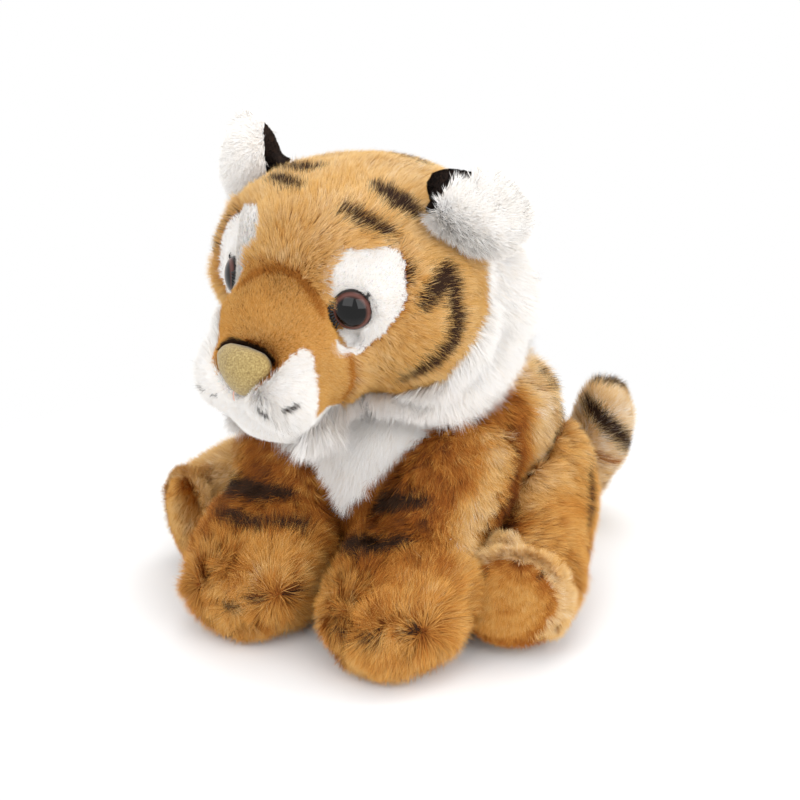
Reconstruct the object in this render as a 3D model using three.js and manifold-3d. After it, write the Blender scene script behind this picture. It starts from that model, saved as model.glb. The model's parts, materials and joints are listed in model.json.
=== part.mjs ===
// A sitting plush tiger, in millimetres: +Z up, the animal faces -Y and its left side is +X.
// The origin is the middle of the flat seat, on the surface that the toy sits on.
//
// Each stuffed part is a form that swells and tapers along a spine. Its skin is a shell as thick as
// the backing and the pile, open where it is sewn on, with its own stuffing inside. A smaller part
// is cut by the larger one that carries it, so the two meet along the real seam.

import * as THREE from "three";
import { mergeVertices } from "three/addons/utils/BufferGeometryUtils.js";
import Module from "manifold-3d";

const wasm = await Module();
wasm.setup();

// Cloth and seams.
const longPile = 7; // backing and long pile of the body panels
const thinPile = 3; // backing and pile of the tail, the snout and the muzzle
const seamGap = 0.3; // clearance between two pieces that touch

// Torso: a pear with a round back, flat underneath.
const torsoHeight = 102;
const torsoHalfWidth = 56;
const torsoHalfDepth = 52;
const pouchTop = 26; // top of the bag of pellets in the seat
const bibHalfWidth = 24; // the white panel down the chest
const bibTop = 86;
const bibTip = 50;

// Neck: a ball of stuffing on a stem. The head is sewn round the ball and turns on its axis.
const neckForward = 15; // the axis lies this far ahead of the seat's middle
const neckHeight = 92; // height of the ball's centre
const neckBall = 23; // radius of the ball
const neckStem = 17; // radius of the stem that runs down into the torso
const neckDrop = 40; // how far the stem reaches below the ball's centre
const ballGap = 0.9; // clearance round the ball inside the head
const bowlRise = 13; // top of the hollow under the head, above the ball's centre
const bowlTopRadius = 35;
const bowlShoulder = 6.5; // height at which the hollow starts to close
const bowlRadius = 44;
const bowlMouthRadius = 48;
const bowlDrop = 30;
const restTurn = 12.4; // degrees that the head is turned to the animal's right
const turnRight = 15; // degrees that it turns further to the right
const turnLeft = 45; // degrees that it turns back to the left
const nodDown = 3; // degrees that the face dips
const nodUp = 8; // degrees that the face lifts

// Head, measured from the ball's centre with the head facing straight ahead.
const headLength = 92;
const headHalfWidth = 60;
const headHalfHeight = 46;
const headRise = 43; // middle of the head above the ball's centre

// Snout: the sheared bridge from the brow to the nose.
const snoutReach = 76; // front of the snout ahead of the ball's centre
const snoutRise = 29;
const snoutHalfWidth = 33;
const snoutHalfHeight = 27;

// Muzzle: two white lobes and a chin.
const muzzleRise = 15;
const muzzleReach = 67; // middle of a lobe ahead of the ball's centre
const muzzleSpread = 11; // middle of a lobe to the side
const muzzleHalfWidth = 17;
const muzzleHalfDepth = 16;
const muzzleHalfHeight = 16;
const chinRise = 1;
const chinReach = 58;
const chinHalfWidth = 22;
const chinHalfDepth = 18;
const chinHalfHeight = 11;

// The nose: a cushion with three rounded corners, the narrow one below.
const noseReach = 76;
const noseRise = 21.5;
const noseHalfWidth = 15;
const noseHalfHeight = 9;
const noseHalfDepth = 6.5;

// Eyes: a domed eye on a post, held by a washer inside the skin, in a white sheared patch.
const eyeSpread = 34;
const eyeRise = 46;
const eyeTurn = 36; // degrees that the eye faces outward
const eyeRadius = 7;
const eyeSink = 3; // the eye's seat lies this far into the patch
const eyeDome = 4.6; // height of the dome
const eyePost = 1.7; // radius of the post
const eyePostLength = 13;
const washerRadius = 8;
const washerThickness = 1.6;
const washerInset = 6.6; // the washer lies this far behind the eye's seat
const patchSink = 3; // the sheared pile lies this far below the long pile
const patchIn = 8; // reach of the white patch from the eye towards the nose
const patchOut = 21;
const patchUp = 26;
const patchDown = 14;

// Ears, hinged on a sewn roll along their base.
const earSpread = 44;
const earBack = -15;
const earLeanLeft = 55; // degrees that the ear leans outward from upright
const earLeanRight = 68;
const earOutLeft = 40; // degrees that its front is turned outward
const earOutRight = 16;
const earHalfWidth = 20;
const earHalfHeight = 9.5;
const earHalfDepth = 7;
const earRoll = 4; // radius of the roll along the base
const earFold = 20; // degrees that an ear folds each way

// Ruff: the white tufted edge behind each cheek.
const ruffHalfWidth = 12;
const ruffHalfDepth = 10;

// Front legs.
const frontSpread = 33;
const frontTop = 94;
const frontReach = 94; // tip of the paw ahead of the seat's middle
const frontHalfWidth = 28;
const frontHalfDepth = 27;
const pawOutLeft = 2; // how far a paw is set further out than its shoulder
const pawOutRight = -2;
const shoulderBack = -24;
const shoulderHeight = 66;
const frontLift = 30; // degrees that a front leg lifts forward

// Hind legs: a haunch, an ankle and a round foot with the sole turned forward.
const hindSpreadLeft = 68;
const hindSpreadRight = 74;
const hindReach = 42; // middle of the sole ahead of the seat's middle
const hindHalfWidth = 32;
const hindHalfDepth = 33;
const footHeight = 25;
const hipSpread = 30;
const hipBack = 26;
const hipHeight = 44;
const hindSplay = 20; // degrees that a hind leg swings outward
const soleRadius = 21.5;
const soleDepth = 5;

// Tail, curled up to the animal's left.
const tailBack = 92;
const tailSide = 42;
const tailTall = 63;
const tailRadius = 13.5;
const tailRootBack = 66;
const tailRootHeight = 20;
const tailSwing = 40; // degrees that the tail swings away behind

// Facets. The outside of a skin has finer sections than its inside.
const bodyDetail = { rings: 12, sides: 20 };
const limbDetail = { rings: 10, sides: 14 };
const smallDetail = { rings: 8, sides: 14 };
const smallLining = { rings: 6, sides: 10 };
const bodyLining = (inset) => ({ rings: 10, sides: 14, inset });
const limbLining = (inset) => ({ rings: 7, sides: 10, inset });
const panelSegments = 4; // straight lines in each curve of a panel's outline

const X = new THREE.Vector3(1, 0, 0);
const Y = new THREE.Vector3(0, 1, 0);
const Z = new THREE.Vector3(0, 0, 1);
const point = (x, y, z) => new THREE.Vector3(x, y, z);
const radians = THREE.MathUtils.degToRad;

// Solids and the cuts between them.

function asSolid(geometry) {
  const bare = geometry.clone();
  bare.deleteAttribute("normal");
  bare.deleteAttribute("uv");
  const merged = mergeVertices(bare);
  const vertProperties = Float32Array.from(merged.attributes.position.array);
  const triVerts = Uint32Array.from(merged.index.array);
  return new wasm.Manifold(new wasm.Mesh({ numProp: 3, vertProperties, triVerts }));
}

function asGeometry(solid) {
  const { vertProperties, triVerts } = solid.getMesh();
  const geometry = new THREE.BufferGeometry();
  geometry.setAttribute("position", new THREE.BufferAttribute(vertProperties, 3));
  geometry.setIndex(new THREE.BufferAttribute(triVerts, 1));
  return geometry;
}

// What is left of the first form once the others are cut away.
function cut(form, ...cutters) {
  let solid = asSolid(form);
  for (const cutter of cutters) solid = solid.subtract(asSolid(cutter));
  return asGeometry(solid);
}

function joined(first, ...others) {
  let solid = asSolid(first);
  for (const other of others) solid = solid.add(asSolid(other));
  return asGeometry(solid);
}

function shared(form, region) {
  return asGeometry(asSolid(form).intersect(asSolid(region)));
}

// A smooth form grown along its normals.
function swollen(geometry, distance) {
  const form = geometry.clone();
  form.computeVertexNormals();
  const place = form.attributes.position;
  const normal = form.attributes.normal;
  for (let i = 0; i < place.count; i += 1) {
    const x = place.getX(i) + normal.getX(i) * distance;
    const y = place.getY(i) + normal.getY(i) * distance;
    const z = place.getZ(i) + normal.getZ(i) * distance;
    place.setXYZ(i, x, y, z);
  }
  form.deleteAttribute("normal");
  return form;
}

// A form turned about an axis through a pivot.
function turned(geometry, pivot, axis, degrees) {
  const form = geometry.clone();
  form.translate(-pivot.x, -pivot.y, -pivot.z);
  form.applyQuaternion(new THREE.Quaternion().setFromAxisAngle(axis, radians(degrees)));
  form.translate(pivot.x, pivot.y, pivot.z);
  return form;
}

// The space that a neighbour takes as seen from a part that swings about the axis to each angle.
function seenFromSwing(neighbour, pivot, axis, angles) {
  return joined(...angles.map((angle) => turned(neighbour, pivot, axis, -angle)));
}

function mirrored(geometry) {
  const copy = geometry.clone();
  copy.scale(-1, 1, 1);
  const order = copy.index.array;
  for (let i = 0; i < order.length; i += 3) {
    [order[i + 1], order[i + 2]] = [order[i + 2], order[i + 1]];
  }
  return copy;
}

// Elliptical sections strung along a smooth spine, with a point at each end. Each station is
// [centre, half-width, half-depth], and the sections shrink towards the ends like those of a ball:
// a bluntness under 1 keeps them fuller. The width lies along the across direction. With an inset
// the form is smaller by that much at its sides and at its ends.
function stuffed(stations, { across = X, bluntness = 0.6, rings = 12, sides = 20, inset = 0 } = {}) {
  const spine = new THREE.CatmullRomCurve3(stations.map(([centre]) => centre));
  const sizes = new THREE.CatmullRomCurve3(stations.map(([, wide, deep]) => point(wide, deep, 0)));
  const endShare = inset / spine.getLength();
  const positions = spine.getPoint(endShare).toArray();
  for (let ring = 1; ring < rings; ring += 1) {
    const angle = (Math.PI * ring) / rings;
    const t = endShare + ((1 - 2 * endShare) * (1 - Math.cos(angle))) / 2;
    const fullness = Math.sin(angle) ** bluntness;
    const along = spine.getTangent(t);
    const wideWay = across.clone().addScaledVector(along, -across.dot(along)).normalize();
    const deepWay = along.clone().cross(wideWay);
    const { x: wide, y: deep } = sizes.getPoint(t);
    for (let side = 0; side < sides; side += 1) {
      const turn = (2 * Math.PI * side) / sides;
      const place = spine.getPoint(t);
      place.addScaledVector(wideWay, (wide - inset) * fullness * Math.cos(turn));
      place.addScaledVector(deepWay, (deep - inset) * fullness * Math.sin(turn));
      positions.push(...place.toArray());
    }
  }
  positions.push(...spine.getPoint(1 - endShare).toArray());
  const geometry = new THREE.BufferGeometry();
  geometry.setAttribute("position", new THREE.Float32BufferAttribute(positions, 3));
  geometry.setIndex(ringFaces(rings, sides));
  return geometry;
}

// Faces between rings of points, with a fan round the point at each end.
function ringFaces(rings, sides) {
  const last = 1 + (rings - 1) * sides;
  const faces = [];
  for (let side = 0; side < sides; side += 1) {
    const next = (side + 1) % sides;
    faces.push(0, 1 + next, 1 + side);
    faces.push(last, last - sides + side, last - sides + next);
    for (let ring = 0; ring < rings - 2; ring += 1) {
      const low = 1 + ring * sides;
      const high = low + sides;
      faces.push(low + side, low + next, high + next);
      faces.push(low + side, high + next, high + side);
    }
  }
  return faces;
}

// Stations from a table of shares of a part's own sizes: x, y, z, half-width and half-depth.
function stationsFrom(shares, { x = 0, y = 0, z = 0, wide, deep }) {
  return shares.map(([sx, sy, sz, sw, sd]) => [point(sx * x, sy * y, sz * z), sw * wide, sd * deep]);
}

function ellipsoid(centre, halfWidth, halfDepth, halfHeight, { rings, sides } = smallDetail) {
  const geometry = new THREE.SphereGeometry(1, sides, rings);
  geometry.scale(halfWidth, halfDepth, halfHeight);
  geometry.translate(centre.x, centre.y, centre.z);
  return geometry;
}

function ball(centre, radius) {
  const geometry = new THREE.SphereGeometry(radius, bodyDetail.sides, bodyDetail.rings);
  geometry.rotateX(Math.PI / 2);
  geometry.translate(centre.x, centre.y, centre.z);
  return geometry;
}

// A round bar from one point to another.
function bar(from, to, radius, sides = limbDetail.sides) {
  const along = to.clone().sub(from);
  const geometry = new THREE.CylinderGeometry(radius, radius, along.length(), sides);
  geometry.applyQuaternion(new THREE.Quaternion().setFromUnitVectors(Y, along.clone().normalize()));
  const middle = from.clone().lerp(to, 1 / 2);
  geometry.translate(middle.x, middle.y, middle.z);
  return geometry;
}

// A profile of [radius, height] pairs turned about the Z axis.
function revolved(profile, sides = limbDetail.sides) {
  const geometry = new THREE.LatheGeometry(profile.map(([r, h]) => new THREE.Vector2(r, h)), sides);
  geometry.rotateX(Math.PI / 2);
  return geometry;
}

// An outline drawn in X and Z, run through from front to back.
function panelPrism(outline, front, back) {
  const geometry = new THREE.ExtrudeGeometry(outline, {
    depth: back - front,
    bevelEnabled: false,
    curveSegments: panelSegments,
  });
  geometry.rotateX(Math.PI / 2);
  geometry.translate(0, back, 0);
  return asGeometry(asSolid(geometry));
}

// Where a line from a point meets a form.
function surfacePoint(form, from, way) {
  const caster = new THREE.Raycaster(from, way.clone().normalize());
  const mesh = new THREE.Mesh(form, new THREE.MeshBasicMaterial({ side: THREE.DoubleSide }));
  return caster.intersectObject(mesh)[0].point;
}

// The forms, before they are cut.

const farReach = 4 * torsoHeight; // longer than the toy in every direction

const torsoShares = [
  [0, 0.4, -0.05, 0.9, 0.92],
  [0, 0.4, 0.22, 1, 1.06],
  [0, 0.22, 0.5, 0.97, 1.1],
  [0, 0.1, 0.82, 1.06, 1.05],
  [0, 0.12, 1.02, 0.76, 0.8],
];

function torsoForm(detail = bodyDetail) {
  const sizes = { y: torsoHalfDepth, z: torsoHeight, wide: torsoHalfWidth, deep: torsoHalfDepth };
  return stuffed(stationsFrom(torsoShares, sizes), detail);
}

const headShares = [
  [0, 0.37, -0.2, 0.8, 0.9],
  [0, 0.14, -0.06, 0.9, 0.98],
  [0, -0.12, 0, 1, 1.02],
  [0, -0.38, -0.02, 1.08, 1],
  [0, -0.65, -0.14, 0.95, 0.86],
];

function headForm(detail = bodyDetail) {
  const sizes = { y: headLength, z: headHalfHeight, wide: headHalfWidth, deep: headHalfHeight };
  const form = stuffed(stationsFrom(headShares, sizes), detail);
  form.translate(0, 0, headRise);
  return form;
}

const snoutShares = [
  [0, -0.3, 1.1, 1, 1.1],
  [0, -0.6, 1, 1.06, 1.1],
  [0, -0.8, 0.92, 0.98, 0.92],
  [0, -1, 0.78, 0.72, 0.6],
];

function snoutForm(detail = limbDetail) {
  const sizes = { y: snoutReach, z: snoutRise, wide: snoutHalfWidth, deep: snoutHalfHeight };
  return stuffed(stationsFrom(snoutShares, sizes), { ...detail, bluntness: 0.5 });
}

function muzzleForm(inset = 0) {
  const detail = inset > 0 ? smallLining : smallDetail;
  const lobe = (side) => ellipsoid(
    point(side * muzzleSpread, -muzzleReach, muzzleRise),
    muzzleHalfWidth - inset,
    muzzleHalfDepth - inset,
    muzzleHalfHeight - inset,
    detail,
  );
  const chin = ellipsoid(
    point(0, -chinReach, chinRise),
    chinHalfWidth - inset,
    chinHalfDepth - inset,
    chinHalfHeight - inset,
    detail,
  );
  return joined(lobe(1), lobe(-1), chin);
}

const noseShares = [
  [0, 0, -1, 0.36, 0.7],
  [0, 0.1, -0.3, 0.66, 1],
  [0, 0.05, 0.4, 0.96, 1],
  [0, -0.3, 1, 0.98, 0.8],
];

function noseForm() {
  const sizes = { y: -noseHalfDepth, z: noseHalfHeight, wide: noseHalfWidth, deep: noseHalfDepth };
  const form = stuffed(stationsFrom(noseShares, sizes), { ...smallDetail, bluntness: 0.5 });
  form.translate(0, -noseReach, noseRise);
  return form;
}

const ruffShares = [
  [0.84, 0.08, 1.45, 0.8, 0.8],
  [0.84, 0.1, 1.1, 1, 1],
  [0.78, 0.06, 0.66, 1.1, 1.1],
  [0.66, -0.12, 0.26, 1, 1],
  [0.42, -0.32, 0.1, 0.7, 0.8],
];

function ruffForm() {
  const sizes = { x: headHalfWidth, y: headLength, z: headRise, wide: ruffHalfWidth, deep: ruffHalfDepth };
  return stuffed(stationsFrom(ruffShares, sizes), { ...limbDetail, across: Y, bluntness: 0.5 });
}

const frontLegShares = [
  [1, 0.24, 1, 0.9, 0.9],
  [1.02, 0.25, 0.74, 1, 1],
  [0.98, 0.42, 0.46, 0.82, 0.76],
  [0.95, 0.7, 0.25, 1.1, 0.92],
  [0.9, 1, 0.18, 1.1, 0.85],
];

function frontLegForm(pawOut, detail = limbDetail) {
  const sizes = {
    x: frontSpread,
    y: -frontReach,
    z: frontTop,
    wide: frontHalfWidth,
    deep: frontHalfDepth,
  };
  const stations = stationsFrom(frontLegShares, sizes);
  stations.slice(-2).forEach(([centre]) => centre.add(point(pawOut, 0, 0)));
  return stuffed(stations, detail);
}

const hindLegShares = [
  [0.44, -1.1, 2.3, 1, 1],
  [0.6, -0.5, 1.7, 1, 1],
  [0.82, 0.2, 1.1, 0.8, 0.78],
  [0.96, 0.66, 1, 0.77, 0.76],
  [1.06, 1, 1, 0.84, 0.82],
];

function hindLegForm(spread, detail = limbDetail) {
  const sizes = { x: spread, y: -hindReach, z: footHeight, wide: hindHalfWidth, deep: hindHalfDepth };
  return stuffed(stationsFrom(hindLegShares, sizes), { ...detail, bluntness: 0.5 });
}

const tailShares = [
  [0.06, 0.42, 0.3, 1, 1],
  [0.26, 0.9, 0.24, 1, 1],
  [0.7, 1.04, 0.34, 1, 1],
  [0.95, 1.02, 0.66, 1.02, 1.02],
  [1.04, 0.98, 1, 0.9, 0.9],
];

function tailForm(detail = limbDetail) {
  const sizes = { x: tailSide, y: tailBack, z: tailTall, wide: tailRadius, deep: tailRadius };
  const across = X.clone().sub(Y).normalize();
  return stuffed(stationsFrom(tailShares, sizes), { ...detail, across, bluntness: 0.4 });
}

// Everything below the surface that the toy sits on.
function ground() {
  const slab = new THREE.BoxGeometry(farReach, farReach, torsoHeight);
  slab.translate(0, 0, -torsoHeight / 2);
  return slab;
}

// A sewn part as its skin and its stuffing, both cut by what carries it.
function skinAndStuffing(make, pile, ...cutters) {
  const skin = cut(make(limbDetail), make(limbLining(pile)), ...cutters);
  const stuffing = cut(make(limbLining(pile + seamGap)), ...cutters);
  return { skin, stuffing };
}

// Materials, and the pieces of the toy.

const tiger = new THREE.Group();

const cloths = {
  tan: [0xb8772f, 0.95],
  rust: [0xa9642a, 0.95],
  gold: [0xc98f3c, 0.95],
  white: [0xf1efec, 0.95],
  black: [0x15120f, 0.9],
  olive: [0x9f9156, 0.9],
  eye: [0x1c0d06, 0.08],
  washer: [0xe6e4dc, 0.4],
  fill: [0xfbfaf6, 1],
  pellets: [0xd9d9d4, 0.8],
};

function piece(parent, name, cloth, geometry) {
  const [color, roughness] = cloths[cloth];
  const material = new THREE.MeshStandardMaterial({ color, roughness, metalness: 0 });
  const mesh = new THREE.Mesh(geometry, material);
  mesh.name = name;
  parent.add(mesh);
}

const neckPoint = point(0, -neckForward, neckHeight);
const floor = ground();
const torso = torsoForm();
const torsoGrown = swollen(torso, seamGap);

// The torso with its neck opening, chest panel, stuffing and bag of pellets.
function addTorso() {
  const shell = cut(torso, torsoForm(bodyLining(longPile)), floor);
  const opening = neckSpace(seamGap);
  const bib = (margin) => panelPrism(bibOutline(margin), -farReach / 2, 0);
  piece(tiger, "torso_skin", "tan", cut(shell, opening, bib(seamGap)));
  piece(tiger, "chest_bib", "white", cut(shared(shell, bib(0)), opening));

  const fill = cut(torsoForm(bodyLining(longPile + seamGap)), floor);
  const lower = new THREE.BoxGeometry(farReach, farReach, 2 * pouchTop);
  const upper = new THREE.BoxGeometry(farReach, farReach, 2 * pouchTop + 2 * seamGap);
  piece(tiger, "pellet_pouch", "pellets", shared(fill, lower));
  piece(tiger, "torso_stuffing", "fill", cut(fill, upper, opening));
}

// The bib's outline, with x as a share of its half-width and z as a share of its height.
const bibShares = { edge: [1, 0.76], bend: [0.8, 0.28], tip: [0, 0] };

function bibOutline(margin) {
  const place = (side, [x, z]) => [
    side * x * (bibHalfWidth + margin),
    bibTip - margin + z * (bibTop - bibTip + 2 * margin),
  ];
  const { edge, bend, tip } = bibShares;
  const corner = [1, 1];
  const shape = new THREE.Shape();
  shape.moveTo(...place(-1, corner));
  shape.lineTo(...place(-1, edge));
  shape.quadraticCurveTo(...place(-1, bend), ...place(-1, tip));
  shape.quadraticCurveTo(...place(1, bend), ...place(1, edge));
  shape.lineTo(...place(1, corner));
  shape.closePath();
  return shape;
}

// The ball and stem of the neck, with a margin for what clears them.
function neckSpace(margin = 0) {
  const stem = neckStem + margin;
  const radius = neckBall + margin;
  const form = joined(
    ball(point(0, 0, 0), radius),
    bar(point(0, 0, -neckDrop - margin), point(0, 0, 0), stem, bodyDetail.sides),
  );
  form.translate(neckPoint.x, neckPoint.y, neckPoint.z);
  return form;
}

// A form made for the left side, on the side that is asked for.
function onSide(side, geometry) {
  return side > 0 ? geometry : mirrored(geometry);
}

function addFrontLeg(side, name) {
  const pivot = point(side * frontSpread, shoulderBack, shoulderHeight);
  const angles = [0, -frontLift / 2, -frontLift];
  const carrier = seenFromSwing(torsoGrown, pivot, X, angles);
  const pawOut = side > 0 ? pawOutLeft : pawOutRight;
  const make = (detail) => onSide(side, frontLegForm(pawOut, detail));
  const { skin, stuffing } = skinAndStuffing(make, longPile, carrier, floor);
  piece(tiger, `front_leg_${name}_skin`, "rust", skin);
  piece(tiger, `front_leg_${name}_stuffing`, "fill", stuffing);
}

// The sole: a flattened ball across the end of the foot.
function soleForm(spread, margin = 0) {
  const sizes = { x: spread, y: -hindReach, z: footHeight, wide: 0, deep: 0 };
  const [ankle, toe] = stationsFrom(hindLegShares, sizes).slice(-2).map(([centre]) => centre);
  const disc = ellipsoid(point(0, 0, 0), soleRadius + margin, soleDepth + margin, soleRadius + margin);
  disc.applyQuaternion(new THREE.Quaternion().setFromUnitVectors(Y, toe.clone().sub(ankle).normalize()));
  disc.translate(toe.x, toe.y, toe.z);
  return disc;
}

function addHindLeg(side, name) {
  const spread = side > 0 ? hindSpreadLeft : hindSpreadRight;
  const pivot = point(side * hipSpread, hipBack, hipHeight);
  const angles = [0, (side * hindSplay) / 2, side * hindSplay];
  const carrier = seenFromSwing(torsoGrown, pivot, Z, angles);
  const pawOut = side > 0 ? pawOutLeft : pawOutRight;
  const frontLeg = swollen(onSide(side, frontLegForm(pawOut)), seamGap);
  const make = (detail) => onSide(side, hindLegForm(spread, detail));
  const sole = (margin) => onSide(side, soleForm(spread, margin));
  const cutters = [carrier, frontLeg, floor];
  const { skin, stuffing } = skinAndStuffing(make, longPile, ...cutters, sole(seamGap));
  piece(tiger, `hind_leg_${name}_skin`, "tan", skin);
  piece(tiger, `hind_leg_${name}_stuffing`, "fill", stuffing);
  piece(tiger, `hind_sole_${name}`, "gold", cut(sole(0), floor, frontLeg));
}

function addTail() {
  const pivot = point(0, tailRootBack, tailRootHeight);
  const angles = [0, tailSwing / 2, tailSwing];
  const carrier = seenFromSwing(torsoGrown, pivot, Z, angles);
  const haunch = swollen(hindLegForm(hindSpreadLeft), seamGap);
  const { skin, stuffing } = skinAndStuffing(tailForm, thinPile, carrier, haunch, floor);
  piece(tiger, "tail_skin", "tan", skin);
  piece(tiger, "tail_stuffing", "fill", stuffing);
}

// Head, in its own frame: the ball's centre at the middle and the face towards -Y.

const head = new THREE.Group();
head.position.copy(neckPoint);
head.rotation.z = -radians(restTurn);
tiger.add(head);

// The hollow under the head: a bowl turned on the neck axis with the socket of the ball at its
// middle, and the room that the torso needs at each turn and nod of the head.
function headHollow() {
  const profile = [
    [0, -bowlDrop],
    [bowlMouthRadius, -bowlDrop],
    [bowlRadius, bowlShoulder],
    [bowlTopRadius, bowlRise],
    [0, bowlRise],
  ];
  const socket = neckSpace(ballGap);
  socket.translate(-neckPoint.x, -neckPoint.y, -neckPoint.z);
  const rooms = [];
  for (const turn of [-turnRight, 0, turnLeft / 3, (2 * turnLeft) / 3, turnLeft]) {
    for (const nod of [-nodDown, nodUp]) {
      const room = torsoGrown.clone();
      room.translate(-neckPoint.x, -neckPoint.y, -neckPoint.z);
      room.rotateZ(radians(restTurn - turn));
      room.rotateX(radians(nod));
      rooms.push(room);
    }
  }
  return joined(revolved(profile, bodyDetail.sides), socket, ...rooms);
}

// The white patch round the left eye, seen from in front of the eye: its point is up and out. Each
// row bends towards its first point and ends at its second, in shares of the patch's four reaches.
const patchShares = [
  [0.8, -1, 1, 0.3],
  [1, 0.7, 0.7, 1],
  [-0.3, 0.9, -0.9, 0.3],
  [-1.2, -0.9, 0, -1],
];

function patchOutline(margin) {
  const place = (x, z) => [
    x * (margin + (x > 0 ? patchOut : patchIn)),
    z * (margin + (z > 0 ? patchUp : patchDown)),
  ];
  const shape = new THREE.Shape();
  shape.moveTo(...place(0, -1));
  for (const [bendX, bendZ, endX, endZ] of patchShares) {
    shape.quadraticCurveTo(...place(bendX, bendZ), ...place(endX, endZ));
  }
  return shape;
}

// The frame of the left eye: its seat on the sunken patch, facing outward along -Y before it turns.
const headOuter = headForm();
const eyeWay = point(0, -1, 0).applyAxisAngle(Z, radians(eyeTurn));
const eyeFront = surfacePoint(headOuter, point(eyeSpread, -farReach, eyeRise), Y);
const eyeSeat = eyeFront.clone().addScaledVector(eyeWay, -patchSink - eyeSink);

function inEyeFrame(geometry) {
  const form = geometry.clone();
  form.rotateZ(radians(eyeTurn));
  form.translate(eyeSeat.x, eyeSeat.y, eyeSeat.z);
  return form;
}

// A domed eye and its post as one revolved profile, [radius, height] up from the post's end.
function eyeForm() {
  const profile = [
    [0, -eyePostLength],
    [eyePost, -eyePostLength],
    [eyePost, 0],
    [eyeRadius, 0],
  ];
  const steps = 4;
  const rimShare = 0.2;
  for (let step = 0; step < steps; step += 1) {
    const angle = (Math.PI / 2) * (step / steps);
    const height = eyeDome * (rimShare + (1 - rimShare) * Math.sin(angle));
    profile.push([eyeRadius * Math.cos(angle), height]);
  }
  profile.push([0, eyeDome]);
  const form = revolved(profile);
  form.rotateX(Math.PI / 2);
  return form;
}

// What the dome needs in front of its seat, and what the post needs behind it.
function eyeSocket() {
  return bar(point(0, seamGap, 0), point(0, -eyePostLength, 0), eyeRadius + seamGap);
}

function eyePostHole() {
  return bar(point(0, eyePostLength + seamGap, 0), point(0, -eyeDome, 0), eyePost + seamGap);
}

// The washer that holds the post, behind the skin.
function washerForm() {
  const inner = eyePost + seamGap;
  const half = washerThickness / 2;
  const profile = [
    [inner, -half],
    [washerRadius, -half],
    [washerRadius, half],
    [inner, half],
    [inner, -half],
  ];
  const form = revolved(profile);
  form.rotateX(Math.PI / 2);
  form.translate(0, washerInset + half, 0);
  return form;
}

// The room that a washer needs in the stuffing.
function washerRoom() {
  const front = washerInset - seamGap;
  const back = washerInset + washerThickness + seamGap;
  return bar(point(0, front, 0), point(0, back, 0), washerRadius + seamGap);
}

// The pieces of one eye in the head's frame, for the left side.
const eyeParts = {
  patch: (margin) => inEyeFrame(panelPrism(patchOutline(margin), -farReach / 2, headLength / 4)),
  eye: () => inEyeFrame(eyeForm()),
  socket: () => inEyeFrame(eyeSocket()),
  postHole: () => inEyeFrame(eyePostHole()),
  washerRoom: () => inEyeFrame(washerRoom()),
  washer: () => inEyeFrame(washerForm()),
};

// One ear at its hinge: the roll lies along X, the flap stands up and its front faces -Y.
function earFlapForm(margin = 0) {
  const flap = ellipsoid(
    point(0, 0, earRoll + earHalfHeight),
    earHalfWidth + margin,
    earHalfDepth + margin,
    earHalfHeight + earRoll + margin,
    limbDetail,
  );
  const above = new THREE.BoxGeometry(farReach, farReach, farReach);
  above.translate(0, 0, farReach / 2);
  return shared(flap, above);
}

function earRollForm(margin = 0) {
  const half = earHalfWidth / 2 + margin;
  return bar(point(-half, 0, 0), point(half, 0, 0), earRoll + margin);
}

// The white front lies in a hollow of the black back, which keeps a rim all round it.
const earLiningShares = { forward: 0.75, rise: 0.95, wide: 0.86, deep: 0.9, tall: 1 };

function earLiningForm(margin = 0) {
  const { forward, rise, wide, deep, tall } = earLiningShares;
  return ellipsoid(
    point(0, -forward * earHalfDepth, earRoll + rise * earHalfHeight),
    wide * earHalfWidth + margin,
    deep * earHalfDepth + margin,
    tall * earHalfHeight + margin,
  );
}

function inEarFrame(geometry, side) {
  const form = geometry.clone();
  form.applyMatrix4(earPlace(side));
  return form;
}

// An ear's hinge lies on the top of the head, and leans outward there.
function earPlace(side) {
  const above = point(side * earSpread, earBack, farReach);
  const hinge = surfacePoint(headOuter, above, point(0, 0, -1));
  const lean = side > 0 ? earLeanLeft : earLeanRight;
  const out = side > 0 ? earOutLeft : earOutRight;
  const place = new THREE.Matrix4().setPosition(hinge);
  place.multiply(new THREE.Matrix4().makeRotationY(side * radians(lean)));
  place.multiply(new THREE.Matrix4().makeRotationZ(side * radians(out)));
  return place;
}

const headGrown = swollen(headOuter, seamGap);
const snoutGrown = swollen(snoutForm(), seamGap);

const hollow = headHollow();

function bothSides(geometry) {
  return joined(geometry, mirrored(geometry));
}

function addHead() {
  const grooves = joined(inEarFrame(earRollForm(seamGap), 1), inEarFrame(earRollForm(seamGap), -1));
  const patches = bothSides(eyeParts.patch(seamGap));
  const skin = cut(headOuter, headForm(bodyLining(longPile)), hollow, grooves, patches);
  piece(head, "head_skin", "tan", skin);
  const fixings = bothSides(joined(eyeParts.postHole(), eyeParts.washerRoom()));
  const fill = cut(headForm(bodyLining(longPile + seamGap)), hollow, grooves, fixings);
  piece(head, "head_stuffing", "fill", fill);
}

function addFace() {
  const eyeRooms = bothSides(eyeParts.socket());
  const noseGrown = swollen(noseForm(), seamGap);
  const snout = skinAndStuffing(snoutForm, thinPile, headGrown, eyeRooms, noseGrown);
  piece(head, "snout_skin", "rust", snout.skin);
  piece(head, "snout_stuffing", "fill", snout.stuffing);
  const muzzleCutters = [headGrown, snoutGrown, noseGrown, hollow];
  piece(head, "muzzle_skin", "white", cut(muzzleForm(), muzzleForm(thinPile), ...muzzleCutters));
  piece(head, "muzzle_stuffing", "fill", cut(muzzleForm(thinPile + seamGap), ...muzzleCutters));
  piece(head, "nose", "olive", noseForm());
}

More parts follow.
